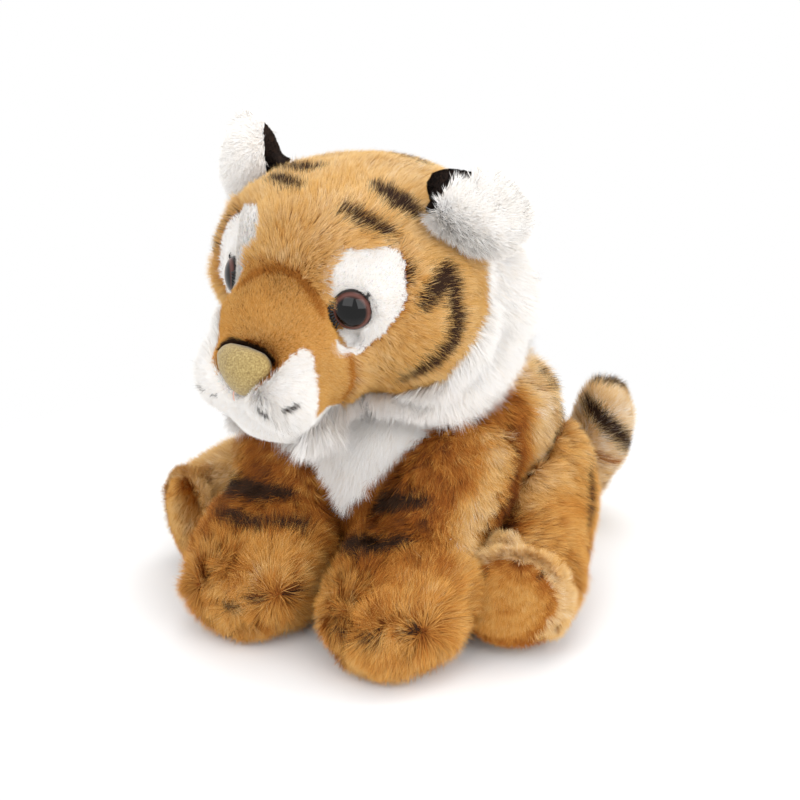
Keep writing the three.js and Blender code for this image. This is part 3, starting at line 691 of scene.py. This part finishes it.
TOES = {
    "left": [
        [(27, -93, 22, 0.8), (27, -89, 33, 1)], [(40, -93, 24, 0.8), (40, -87, 37, 1)],
        [(51.6, -86, 27, 0.8), (51.5, -80, 37, 1)],
    ],
    "right": [
        [(-13.6, -90, 25, 0.8), (-14, -86, 36, 1)], [(-22, -92, 22, 0.8), (-24, -88, 36, 1)],
        [(-4.4, -76, 24, 0.8), (-7, -74, 34, 1)],
    ],
}
SOLE_CLAWS = [
    [(72, -45.2, 40.4, 0.7), (73.4, -44.6, 42.4, 0.7)],
    [(81, -42, 35.6, 0.8), (82.4, -40.8, 38, 0.8)],
    [(62.4, -49, 35.6, 0.6), (63, -48.4, 37.4, 0.6)],
]
print("stripes on the back and the tail:", len(BACK_STRIPES + SPINE_STRIPES + TAIL_BAND))

# %% [markdown]
# ## Tones of the toy
#
# Gold on the head, deeper rust in the long pile of the body, brighter orange on the sheared snout
# and the soles, white round the eyes, on the muzzle, the ruff, the bib and inside the ears.


# %% What tone a hair has, part by part
def plain_tone(base, *marks, soft=1.1, slow=0.05, tuft=0.04, single=0.045):
    """A base that changes slowly over the form, from tuft to tuft and from hair to hair.

    Marks are pairs of a tone and either paths, with edges this soft, or a test of places.
    """

    def tone(place, seen, source, tuft_value):
        value = base(place) if callable(base) else base
        value = value + slow * waves(place, 42, 1) + tuft * tuft_value
        value += single * source.normal(0, 1, len(place))
        for mark, paths in marks:
            if callable(paths):
                marked = paths(seen)
            else:
                marked = gap_to(seen, paths) < soft * source.normal(0, 1, len(seen))
            value[marked] = mark + 0.05 * source.random(int(marked.sum()))
        return value

    return tone


def white_tone(place, seen, source, tuft_value):
    return 0.97 + 0.01 * tuft_value + 0.015 * source.normal(0, 1, len(place))


# %% Outlines of the head's areas, in the head's frame
PATCHES = [
    [(36.5, 69), (43.5, 64.6), (47.4, 54), (46.4, 46.5), (41.3, 39), (31.8, 30.8), (30.4, 32.4),
     (29.4, 36), (28.2, 40), (27, 45), (24.6, 51), (23, 56), (22.6, 61), (26, 67.4)],
    [(-22.5, 74.4), (-34.5, 71), (-47.2, 61.8), (-50, 52.2), (-47, 43), (-40, 37), (-31.5, 31.6),
     (-26.4, 36), (-22, 43), (-16.6, 54.5), (-11.6, 63.6), (-13, 71)],
]
SNOUT_RISE = [8, 34, 41, 44.3, 48.5, 52.6, 56.6, 57.8, 58.6, 59]
SNOUT_REACH = [34, 32, 28.6, 27, 23.6, 18.2, 11.8, 5.7, 1, -1]
FOLD_RISE, FOLD_DEPTH = [5, 10, 14, 21, 28, 34], [-50, -50.2, -51, -52.6, -54.7, -56.6]
LOBE_REACH = [-40, -22, -19, -16, -9, 0, 9, 14.3, 15.9, 19.6, 23.1, 26, 40]
LOBE_RISE = [36, 36, 32, 25, 19, 18, 19, 22.8, 26.7, 31.1, 34.8, 35.6, 36]
JAW_DEPTH = [-60, -51, -40, -32, -26, -24.5, -20.6, -14.3, -11.3, -9.9, -6, 0]
JAW_RISE = [2, 5.3, 6.4, 9, 16, 24.6, 33.6, 43.3, 50.2, 58.4, 68, 74]


def inside(x, y, outline):
    """Which points lie inside a closed outline."""
    hit = np.zeros(len(x), bool)
    outline = np.array(outline, float)
    for (x0, y0), (x1, y1) in zip(outline, np.roll(outline, -1, 0)):
        crosses = (y0 > y) != (y1 > y)
        hit ^= crosses & (x < (x1 - x0) * (y - y0) / (y1 - y0 + 1e-12) + x0)
    return hit


def nearest_of(members):
    """A function that tells which of these solids is nearest to each place."""
    places, faces, base = [], [], 0
    for member in members:
        places.append(vertices_of(nodes[member]))
        faces.append(triangles_of(nodes[member]) + base)
        base += len(places[-1])
    tree = tree_of(np.vstack(places), np.vstack(faces))
    owner = np.repeat(np.arange(len(members)), [len(each) for each in faces])
    return lambda spots: owner[[tree.find_nearest(spot)[2] for spot in spots]]


nearest_on_head = nearest_of(HEAD_SOFT)


def head_region(places):
    """head, patch, snout, muzzle or ruff, for each place on the head."""
    local = into_head(places)
    x, y, z = local.T
    side = np.abs(x)
    solid = np.array(HEAD_SOFT)[nearest_on_head(places)]
    region = np.full(len(places), "head", "U8")
    on_ruff = (z < np.interp(y, JAW_DEPTH, JAW_RISE)) & (y > -66) & (y < 12 - 0.3 * (z - 20))
    region[on_ruff | np.char.startswith(solid, "ruff")] = "ruff"
    on_snout = (z < 34) & (y < np.interp(z, FOLD_RISE, FOLD_DEPTH)) & (z > 7)
    on_snout |= (z >= 34) & (y < -40) & (side < np.interp(z, SNOUT_RISE, SNOUT_REACH))
    region[on_snout] = "snout"
    for outline in PATCHES:
        region[inside(x, z, outline) & (y < -30)] = "patch"
    below_eye = (y > -53.5) & (y < -40) & (z > 30.5) & (z < 38) & (side > 25) & (side < 34)
    region[below_eye] = "patch"
    corner = np.clip((z - 29) / 6, 0, 1) * np.where(x > 0, 2.6, -2.6)
    front = -65.6 - corner - 1.6 * smooth(19, 23, side)
    on_lobe = (y < front) & (z < np.interp(x, LOBE_REACH, LOBE_RISE))
    region[on_lobe | ((z <= 7) & (y < -50))] = "muzzle"
    return region


def choose_region(*wanted, side=0):
    """Picks places in these areas, on both sides or on the side with this sign."""

    def choose(middle):
        chosen = np.isin(head_region(middle), wanted)
        if side:
            chosen &= into_head(middle)[:, 0] * side > 0
        return chosen

    return choose


# %% Which way the nap runs
def away_from(x, y, z, down=0.0, in_head=False):
    """The nap runs away from one point, and down by this share."""
    centre = np.array([x, y, z], float)

    def comb(places):
        if in_head:
            way = unit(into_head(places) - centre) @ TURN.T
        else:
            way = unit(places - centre)
        way[:, 2] -= down
        return way

    return comb


def down_and(x, y):
    """The nap runs down, and by these shares to the side and back."""
    return lambda places: np.broadcast_to(np.array([x, y, -1.0]), places.shape).copy()


# %% The piles of the head
head_comb = away_from(0, -78, 42, down=0.25, in_head=True)
nose_tree = tree_of(vertices_of(nodes["nose"]), triangles_of(nodes["nose"]))


def head_base(places):
    """Gold, richer on the cheeks and paler on the crown."""
    z = into_head(places)[:, 2]
    return 0.66 - 0.02 * smooth(40, 10, z) + 0.03 * smooth(60, 84, z)


def ruff_length(places):
    """Longest where the fringe hangs under the cheeks."""
    z = into_head(places)[:, 2]
    return 12 + 5 * smooth(30, 8, z) - 5 * smooth(40, 60, z)


def over_nose(seen):
    """True along the top edge of the nose, for the dark line there."""
    gap = np.array([nose_tree.find_nearest(spot)[3] for spot in seen])
    return (gap < 1.5 + 0.4 * rng.normal(size=len(seen))) & (into_head(seen)[:, 2] > 26.5)


def under_cheek(sign):
    """Where the white fringe starts, along the lower edge of the face."""

    def choose(middle):
        x, y, z = into_head(middle).T
        low = (z < np.interp(y, JAW_DEPTH, JAW_RISE) + 1) & (z > -4) & (z < 18)
        return low & (y < -18) & (y > -64) & (x * sign > 0) & (np.abs(x) > 8)

    return choose


head_tone = plain_tone(
    head_base, (0.36, on_head(both_sides(FOLD))), (0.4, on_head(SEAM)),
    (0.06, on_head(FOREHEAD + NAPE + both_sides(CHEEK))), soft=1.4, slow=0.04, tuft=0.03,
    single=0.04,
)
for side, sign in SIDES:
    grow(f"head_pile_{side}", "head_cloth", 120000, head_comb, head_tone, 6.6, lean=62, tuft=2.8,
         gather=0.42, choose=choose_region("head", side=sign), seed=11 + sign, wander=12, width=0.25)
    grow(f"eye_patch_pile_{side}", "head_cloth", 26000,
         away_from(sign * 33, -62, 47, in_head=True), white_tone, 2.3, lean=56, tuft=2.0, gather=0.1,
         choose=choose_region("patch", side=sign), seed=21 + sign, slot="white_plush", width=0.24)
    grow(f"ruff_pile_{side}", "head_cloth", 75000,
         away_from(sign * 28, -62, 64, down=0.55, in_head=True), white_tone, ruff_length, lean=56,
         tuft=3.2, gather=0.5, choose=choose_region("ruff", side=sign), seed=31 + sign,
         slot="white_plush")
    grow(f"fringe_pile_{side}", "head_cloth", 20000,
         away_from(sign * 6, 30, 30, down=0.9, in_head=True), white_tone, 13, lean=50, gather=0.5,
         choose=under_cheek(sign), seed=35 + sign, slot="white_plush", free=True)


# %% The piles of the snout and the muzzle
def muzzle_length(places):
    """Puffier away from the nose."""
    x, y, z = into_head(places).T
    puffy = 3.4 * smooth(8, 18, np.abs(x)) * smooth(-66, -74, y)
    return 3.0 + puffy + 2.6 * smooth(-14, -24, x) * smooth(8, 22, z)


snout_tone = plain_tone(
    0.57, (0.4, on_head(both_sides(FOLD) + SEAM)), (0.04, over_nose), soft=0.7, slow=0.03, tuft=0.02,
)
muzzle_tone = plain_tone(
    0.97, (0.02, on_head(WHISKERS)), soft=0.4, slow=0.0, tuft=0.01, single=0.015,
)
grow("snout_pile", "head_cloth", 110000, away_from(0, -84, 24, in_head=True), snout_tone, 2.7,
     lean=50, tuft=1.6, gather=0.25, choose=choose_region("snout"), seed=41, slot="sheared_plush",
     width=0.22)
grow("muzzle_pile", "head_cloth", 80000, away_from(0, -88, 20, in_head=True), muzzle_tone,
     muzzle_length, lean=50, tuft=2.4, gather=0.3, choose=choose_region("muzzle"), seed=42,
     slot="white_plush", width=0.24)

# %% The piles of the ears
EAR_RIMS = {"left": (4.5, -5.5, 16.0), "right": (-7.0, -5.0, 21.0)}
ear_black = {}


def ear_rim(side, middle):
    """True on the black back of an ear, which also comes over the rim to the front."""
    nearest = nearest_of([f"ear_back_{side}", f"ear_lining_{side}"])
    right, up, reach = EAR_RIMS[side]

    def black(places):
        across = (places - middle) @ [0.857, 0.514, 0.0]
        rise = (places - middle) @ [-0.179, 0.298, 0.938]
        behind = (middle - places) @ [0.482, -0.804, 0.348] > 3
        over = np.hypot(across - right, rise - up) > reach
        back = (nearest(places) == 0) & (rise > -12)
        if side == "left":
            return (over & (rise > 0.55 * across - 6)) | (back & ((across < 1) | behind))
        return (over & (across > 0) & (rise > 2)) | (back & ((across > 3) | behind))

    return black


for side, sign in SIDES:
    name = f"ear_{side}_cloth"
    middle = forms[name]["outer"].mean(0)
    black = ear_black[name] = ear_rim(side, middle)
    start = middle - [30, 8, 24] if side == "left" else middle + [14, 0, 16]
    grow(f"ear_lining_pile_{side}", name, 30000, away_from(*start), white_tone,
         9.0 if side == "left" else 7.0, lean=46, tuft=2.8, wander=40,
         choose=lambda places: ~black(places), seed=51 + sign, slot="white_plush", width=0.28,
         bent=True)
    grow(f"ear_back_pile_{side}", name, 36000, away_from(*(middle - [sign * 10, -6, 22])),
         plain_tone(0.02, slow=0.01, tuft=0.01, single=0.01), 1.8, lean=50, choose=black,
         seed=61 + sign, slot="black_velour", width=0.24)

# %% The piles of the torso and the tail
BIB_RISE, BIB_REACH = [49, 56.4, 64.3, 71.5, 78, 83.5, 90], [0, 5.5, 11, 18, 25, 30.5, 36]
crease_shade, leg_edge_light = both_sides(CREASE_SHADE), both_sides(LEG_EDGE_LIGHT)


def on_bib(places):
    """True inside the white bib on the chest."""
    x, y, z = places.T
    return (y < -10) & (z > 49) & (np.abs(x + 2.5) < np.interp(z, BIB_RISE, BIB_REACH))


def torso_base(places):
    """Rust on the shoulders, gold towards the back."""
    gold = 0.38 + 0.37 * smooth(-14, 6, places[:, 1])
    # Painted shade darkens the hairs behind the front leg, and painted light brightens those by its
    # edge.
    return gold - 0.16 * glow(places, crease_shade, 6) + 0.1 * glow(places, leg_edge_light, 5)


def torso_length(places):
    """Longer behind, where the back and the haunches make one line."""
    return 9.5 + 4 * smooth(20, 44, places[:, 1]) * smooth(100, 84, places[:, 2])


torso_tone = plain_tone(torso_base, (0.04, both_sides(BACK_STRIPES) + SPINE_STRIPES), soft=1.3)
tail_tone = plain_tone(0.77, (0.34, TAIL_FAINT), (0.05, TAIL_BAND + TAIL_TIP), soft=1.3)
grow("torso_pile", "torso_cloth", 150000, down_and(0, 0.25), torso_tone, torso_length, tuft=3.6,
     choose=lambda places: ~on_bib(places), seed=71)
grow("bib_pile", "torso_cloth", 50000, down_and(0, -0.3), white_tone, 10, gather=0.35,
     choose=on_bib, seed=72, slot="white_plush")
grow("tail_pile", "tail_cloth", 80000, away_from(4, 62, 8), tail_tone, 8, lean=55, tuft=2.6,
     gather=0.35, seed=73, width=0.26)


# %% Tone, length and nap of the legs
def leg_base(places):
    """Rust above, brighter on the paw; painted light down the outer edge, painted shade behind it."""
    rust = 0.35 + 0.16 * smooth(48, 28, places[:, 2])
    return rust + 0.32 * glow(places, leg_edge_light, 6.5) - 0.2 * glow(places, crease_shade, 4)


def leg_length(places):
    """A little longer on the paws."""
    return 9 + 2 * smooth(52, 36, places[:, 2]) * smooth(-50, -60, places[:, 1])


def leg_comb(sign):
    """Down the leg, and on the paw away from the line of the claws, like a cuff."""
    low, high = (24, 54) if sign > 0 else (-38, -8)

    def comb(places):
        heart = np.tile([0.0, -80.0, 22.0], (len(places), 1))
        heart[:, 0] = np.clip(places[:, 0], low, high)
        on_paw = (smooth(50, 40, places[:, 2]) * smooth(-52, -62, places[:, 1]))[:, None]
        swirl = np.stack([waves(places, 16, 1), waves(places, 19, 2), waves(places, 17, 0)], 1)
        down = np.array([sign * 0.2, -0.4, -1.0])
        return (unit(places - heart) + 0.5 * swirl) * on_paw + down * (1 - on_paw)

    return comb


def haunch_base(places):
    """Gold, paler higher up; painted light on the right side, painted shade behind the front leg."""
    # The right haunch lies away from the lamps and is made paler: painted light.
    gold = 0.53 + 0.1 * smooth(44, 66, places[:, 2]) + 0.14 * (places[:, 0] < 0)
    return gold - 0.26 * glow(places, crease_shade, 5)


# %% The piles of the legs and the soles
for side, sign in SIDES:
    marks = (LEFT_LEG_STRIPES if sign > 0 else RIGHT_LEG_STRIPES) + CLAWS[side]
    leg_tone = plain_tone(
        leg_base, (0.3, TOES[side]), (0.06, marks), soft=1.6, tuft=0.055, single=0.06,
    )
    grow(f"front_leg_pile_{side}", f"front_leg_{side}_cloth", 125000, leg_comb(sign), leg_tone,
         leg_length, tuft=4.0, gather=0.55, wander=34, seed=81 + sign, lean=58)
    cloth = f"hind_leg_{side}_cloth"
    nearest = nearest_of([f"hind_leg_{side}_skin", f"hind_sole_{side}"])
    middle = vertices_of(nodes[f"hind_sole_{side}"]).mean(0)

    def on_skin(places):
        """True nearer to the leg's skin than to its sole."""
        return nearest(places) == 0

    def from_middle(places):
        """How far each place lies from the middle of the sole, seen from the front."""
        return np.linalg.norm((places - middle)[:, [0, 2]], axis=1)

    def sole_base(places):
        # Painted light: the right sole, which lies away from the lamps, is made paler.
        return 0.51 - 0.13 * smooth(10.5, 14.5, from_middle(places)) + 0.12 * (places[:, 0] < 0)

    def round_sole(places):
        """True on the edge of the sole's face and a little behind it."""
        gap, z = from_middle(places), places[:, 2]
        # Painted shade: the lowest part of the sole's edge gets no pale rim, so it stays darker.
        edge = np.where(on_skin(places), gap < 23, (gap > 15) & (z > middle[2] - 12))
        return edge & (places[:, 1] < middle[1] + 8) & (z > 8)

    def on_sole(places):
        return ~on_skin(places) * smooth(19, 14.5, from_middle(places))

    haunch_paths = HAUNCH_STRIPES if sign > 0 else both_sides(HAUNCH_STRIPES)
    grow(f"hind_leg_pile_{side}", cloth, 95000, down_and(sign * 0.3, 0.1),
         plain_tone(haunch_base, (0.1, haunch_paths), soft=1.2), 9.5, tuft=3.8, choose=on_skin,
         seed=91 + sign)
    grow(f"rim_pile_{side}", cloth, 26000, away_from(*(middle + [0, 12, 0])), plain_tone(0.7), 7.5,
         lean=52, tuft=3.2, gather=0.5, choose=round_sole, seed=111 + sign)
    grow(f"sole_pile_{side}", cloth, 34000, away_from(*(middle + [0, 8, 12])),
         plain_tone(sole_base, (0.05, both_sides(SOLE_CLAWS)), soft=0.7), 6, lean=52, tuft=2.8,
         choose=on_sole, seed=101 + sign, slot="gold_plush", width=0.25)


# %% [markdown]
# ## Finish of the backing cloth
#
# Between the hairs the knitted backing shows as a dark, warm ground. Its colour follows the pile
# that stands on it, through a colour kept at each vertex, and a fine knit breaks it up.


# %% The node group of a fine grain, for cloth and velour
grain_tree, entry, leave = new_group(
    "fine grain", {"Vector": "Vector", "Scale": "Float", "Detail": "Float", "Relief": "Float"},
    {"Value": "Float", "Colour": "Color", "Normal": "Vector"},
)
noise, bump = added(grain_tree, "TexNoise"), added(grain_tree, "Bump")
wired(
    grain_tree, (entry, "Vector", noise, "Vector"), (entry, "Scale", noise, "Scale"),
    (entry, "Detail", noise, "Detail"), (noise, "Fac", bump, "Height"),
    (entry, "Relief", bump, "Distance"), (noise, "Fac", leave, "Value"),
    (noise, "Color", leave, "Colour"), (bump, "Normal", leave, "Normal"),
)


def grain(tree, shader, scale, detail, relief):
    """Gives a material the grain, with this relief in millimetres."""
    place = added(tree, "TexCoord")
    group = added(tree, "Group", {"node_tree": grain_tree}, Scale=scale, Detail=detail,
                  Relief=relief * MM)
    wired(tree, (place, "Object", group, "Vector"), (group, "Normal", shader, "Normal"))
    return group


# %% The knitted cloth, with its colour at each vertex
backing, tree, shader = new_material("knit backing", 0.9, Specular_IOR_Level=0.1)
ground = added(tree, "VertexColor", {"layer_name": "ground"})
knit = grain(tree, shader, 900, 3, 0.3)
mix = added(tree, "Mix", {"data_type": "RGBA", "blend_type": "MULTIPLY"}, Factor=0.5)
wired(
    tree, (ground, "Color", mix, "A"), (knit, "Colour", mix, "B"),
    (mix, "Result", shader, "Base Color"),
)
RUST, WHITE, BLACK = colour(140, 82, 34), colour(236, 234, 233), colour(18, 16, 16)
for name, form in forms.items():
    places = form["outer"]
    shades = np.tile(np.array(RUST), (len(places), 1))
    if name == "head_cloth":
        shades[np.isin(head_region(places), ["patch", "muzzle", "ruff"])] = WHITE
    elif name == "torso_cloth":
        shades[on_bib(places)] = WHITE
    elif name == "neck_cloth":
        shades[:] = WHITE
    elif name.startswith("ear"):
        shades[:] = WHITE
        shades[ear_black[name](places)] = BLACK
    layer = form["piece"].data.color_attributes.new("ground", "FLOAT_COLOR", "POINT")
    fill(layer.data, "color", shades)
    form["piece"].data.materials.append(backing)
    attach(form["piece"], form["body"])
    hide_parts(*form["members"])
print(len(forms), "cloths on their bodies")

# %% [markdown]
# ## Nose
#
# A small velour cushion. The solid has its form, so a copy is wrapped finely and smoothed.

# %% The nose cushion
nose = wrapped("nose_velour", ["nose"], 0.9, 8)
soften(nose)
velour, tree, shader = new_material("olive velour", 0.75, Sheen_Weight=0.3)
nap = grain(tree, shader, 1500, 5, 0.25)
shade = ramp(tree, [(0.3, (128, 104, 54)), (0.5, (158, 134, 78)), (0.7, (184, 162, 104))])
wired(tree, (nap, "Value", shade, "Fac"), (shade, "Color", shader, "Base Color"))
nose.data.materials.append(velour)
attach(nose, "head")
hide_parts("nose")
print("nose_velour", len(nose.data.vertices), "vertices")

# %% [markdown]
# ## Eyes
#
# A safety eye is a clear plastic dome over a painted brown ring and a black pupil. One glossy dome
# with the ring and the pupil in its colour reads the same from outside.


# %% The glossy eyes
EYE_TURN, EYE_RADIUS, EYE_DOME, EYE_BACK = math.radians(36), 7.6, 4.9, 2.0
UP = np.array([0, 0, 1.0])
glossy, tree, shader = new_material("glossy eye", 0.05, Specular_IOR_Level=0.3)
uv = added(tree, "UVMap", {"uv_map": "front"})
gap = added(tree, "VectorMath", {"operation": "DISTANCE"})
gap.inputs[1].default_value = (0.5, 0.5, 0)
ring = ramp(tree, [(0.0, (3, 3, 3)), (0.34, (5, 4, 4)), (0.365, (52, 32, 28)), (0.41, (98, 62, 55)),
                   (0.445, (86, 52, 46)), (0.47, (34, 20, 17)), (0.5, (8, 6, 5))])
wired(tree, (uv, "UV", gap, 0), (gap, "Value", ring, "Fac"), (ring, "Color", shader, "Base Color"))
eye_frames = {}
for side, sign in SIDES:
    way = np.array([sign * math.sin(EYE_TURN), -math.cos(EYE_TURN), 0]) @ TURN.T
    places = vertices_of(nodes[f"eye_{side}"])
    apex = places[(places @ way).argmax()]
    bpy.ops.mesh.primitive_uv_sphere_add(segments=64, ring_count=32, radius=1, location=(0, 0, 0))
    eye = bpy.context.object
    eye.name = f"eye_dome_{side}"
    ball = vertices_of(eye) * MM
    uv = eye.data.uv_layers.active
    uv.name = "front"
    for loop, corner in zip(eye.data.loops, uv.data):
        corner.uv = 0.5 + 0.5 * ball[loop.vertex_index][:2]
    height = np.where(ball[:, 2] > 0, EYE_DOME, EYE_BACK) * ball[:, 2]
    outward = sign * unit(np.cross(UP, way))
    seat = apex - EYE_DOME * way
    eye_frames[side] = (seat, outward, way)
    rim = ball[:, :1] * sign * outward + ball[:, 1:2] * UP
    points = seat + EYE_RADIUS * rim + height[:, None] * way
    fill(eye.data.vertices, "co", points * MM)
    soften(eye)
    eye.data.materials.append(glossy)
    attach(eye, "head")
    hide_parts(f"eye_{side}")
    print(eye.name, "sits at", np.round(seat, 1).tolist())


# %% The washers behind the eyes, with a faint texture
def textured(name, roughness, kind, stops, **inputs):
    """A material whose colour follows a fine texture."""
    material, tree, shader = new_material(name, roughness)
    place, texture, shade = added(tree, "TexCoord"), added(tree, kind, **inputs), ramp(tree, stops)
    wired(
        tree, (place, "Object", texture, "Vector"), (texture, "Fac", shade, "Fac"),
        (shade, "Color", shader, "Base Color"),
    )
    return material


washer = textured(
    "washer", 0.4, "TexNoise", [(0.3, (205, 205, 200)), (0.7, (225, 225, 222))], Scale=400,
)
for side, _ in SIDES:
    node = nodes[f"eye_washer_{side}"]
    node.data.materials.clear()
    node.data.materials.append(washer)

# %% [markdown]
# ## Stitches
#
# The inner corner of each eye and one spot over its outer edge are sewn through with black thread,
# and one pale stitch closes the muzzle under the nose. Each stitch is a short round path.


# %% Threads as short swept paths
def threads(name, paths, radius, material):
    """Sweeps paths of five places each, and joins them."""
    strands = []
    for path in paths:
        bpy.ops.curve.primitive_nurbs_path_add(location=(0, 0, 0))
        strand = bpy.context.object
        for spot, place in zip(strand.data.splines[0].points, np.array(path) * MM):
            spot.co = (*place, 1.0)
        strand.data.bevel_depth = radius * MM
        strand.data.bevel_resolution = 2
        strand.data.use_fill_caps = True
        strands.append(strand)
    only(*strands)
    bpy.ops.object.convert(target="MESH")
    bpy.ops.object.join()
    piece = bpy.context.object
    piece.name = name
    bpy.ops.object.shade_smooth()
    piece.data.materials.clear()
    piece.data.materials.append(material)
    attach(piece, "head")
    print(name, len(piece.data.vertices), "vertices")


def arched(start, end, rise):
    """Five places from start to end that bow out by the third value."""
    start, end, rise = (np.array(value, float) for value in (start, end, rise))
    steps = (0, 0.25, 0.5, 0.75, 1)
    return [start + t * (end - start) + math.sin(math.pi * t) * rise for t in steps]


def thread_material(name, low, high):
    return textured(name, 0.6, "TexWave", [(0.2, low), (0.8, high)], Scale=900, Distortion=2)


black_thread = thread_material("black thread", (6, 5, 5), (30, 27, 26))
pale_thread = thread_material("pale thread", (206, 150, 134), (232, 190, 176))
for side, _ in SIDES:
    seat, outward, way = eye_frames[side]

    def by_eye(turn, reach, lift):
        """A place by the eye: degrees from its outer side, millimetres out and forward."""
        turn = math.radians(turn)
        return seat + reach * (math.cos(turn) * outward + math.sin(turn) * UP) + lift * way

    def stitch(turn, reach, lift, to_turn, to_reach, to_lift, rise):
        return arched(by_eye(turn, reach, lift), by_eye(to_turn, to_reach, to_lift), rise * way)

    lashes = [stitch(t, 6.4, 2.6, t + 5, 8.9, 1.6, 0.7) for t in range(152, 226, 9)]
    lashes += [stitch(t, 7.6, 1.6, t + 12, 8.4, 1.6, 0.6) for t in range(150, 222, 12)]
    lashes += [stitch(40 + t, 7.4, 1.8, 50 - t, 9.4, 1.4, 0.8) for t in range(0, 12, 3)]
    lashes.append(stitch(200, 11.8, 3.0, 206, 13.2, 3.4, 0.6))
    threads(f"eye_stitches_{side}", lashes, 0.36, black_thread)
pulled = arched((-1.6, -79.6, 15.6), (-1.2, -80.6, 11.2), (0, -1.0, 0))
threads("muzzle_stitch", [from_head(pulled)], 0.22, pale_thread)

# %% [markdown]
# ## Floor, light and camera
#
# A pale floor that fades out to the white of the world, three large soft lamps, and a camera at the
# height and distance from which the toy fills the same part of the view.

# %% The floor
FADE_START, FADE_END = 0.11, 0.26  # metres from the middle of the toy
bpy.ops.mesh.primitive_circle_add(
    vertices=96, radius=0.6, fill_type="NGON", location=(0, 0, -0.0003)
)
floor = bpy.context.object
floor.name = "floor"
material, tree, shader = new_material("pale floor", 0.9, Base_Color=(0.95, 0.95, 0.95, 1))
place = added(tree, "TexCoord")
length = added(tree, "VectorMath", {"operation": "LENGTH"})
fade = added(tree, "MapRange", **{"From Min": FADE_START, "From Max": FADE_END})
clear, mix = added(tree, "BsdfTransparent"), added(tree, "MixShader")
wired(
    tree, (place, "Object", length, 0), (length, "Value", fade, "Value"),
    (fade, "Result", mix, "Fac"), (shader, "BSDF", mix, 1), (clear, "BSDF", mix, 2),
    (mix, "Shader", tree.nodes["Material Output"], "Surface"),
)
floor.data.materials.append(material)
floor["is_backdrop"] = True
print("the floor fades from", FADE_START, "to", FADE_END, "m")

# %% The world is white to the camera and a soft grey light to the toy
GREY, FULL = 0.92, 1.0
world = bpy.data.worlds.new("studio")
bpy.context.scene.world = world
world.use_nodes = True
tree = world.node_tree
ground = tree.nodes["Background"]
ground.inputs["Color"].default_value = (1, 1, 1, 1)
rays = added(tree, "LightPath")
seen, seen_too = (added(tree, "Math", {"operation": "MAXIMUM"}) for _ in range(2))
strength = added(tree, "MapRange", **{"To Min": GREY, "To Max": FULL})
wired(
    tree, (rays, "Is Camera Ray", seen, 0), (rays, "Is Glossy Ray", seen, 1),
    (seen, "Value", seen_too, 0), (rays, "Is Transmission Ray", seen_too, 1),
    (seen_too, "Value", strength, "Value"), (strength, "Result", ground, "Strength"),
)


# %% Soft lamps
LIT = Vector((0, 0, 0.08))  # the place that every lamp is turned to


def lamp(name, place, watts, size):
    bpy.ops.object.light_add(type="AREA", location=place)
    light = bpy.context.object
    light.name = name
    light.data.energy = watts
    light.data.size = size
    light.rotation_euler = (LIT - Vector(place)).to_track_quat("-Z", "Y").to_euler()
    print(name, watts, "W over", size, "m")


lamp("key", (0.05, -1.2, 0.75), 5.7, 0.95)
lamp("fill", (1.1, -0.6, 0.6), 8.6, 1.0)
lamp("top", (0.1, 0.35, 1.2), 4.5, 0.9)

# %% The camera
AZIMUTH, ELEVATION, DISTANCE = math.radians(30.96), math.radians(20.35), 828
AIM = Vector((-2.7, -3.0, 77.6))
FOCAL_PIXELS = 2.51 * DISTANCE
PICTURE, SENSOR = 800, 36  # width in pixels, and in millimetres on the sensor
level = math.cos(ELEVATION)
back = Vector((math.sin(AZIMUTH) * level, -math.cos(AZIMUTH) * level, math.sin(ELEVATION)))
camera = placed("camera", bpy.data.cameras.new("camera"))
camera.location = (AIM + DISTANCE * back) * MM
camera.rotation_mode = "QUATERNION"
camera.rotation_quaternion = (-back).to_track_quat("-Z", "Y")
camera.data.sensor_width = SENSOR
camera.data.lens = SENSOR * FOCAL_PIXELS / PICTURE
bpy.context.scene.camera = camera
bpy.context.scene.view_settings.view_transform = "Standard"
print("the lens has", round(camera.data.lens, 1), "mm")

# %% Sizes, and the end
low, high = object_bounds()
grown = [round(1000 * float(v), 1) for v in [*(cad_low - low), *(high - cad_high)]]
print("the hair stands past the part's box by", grown, "mm")
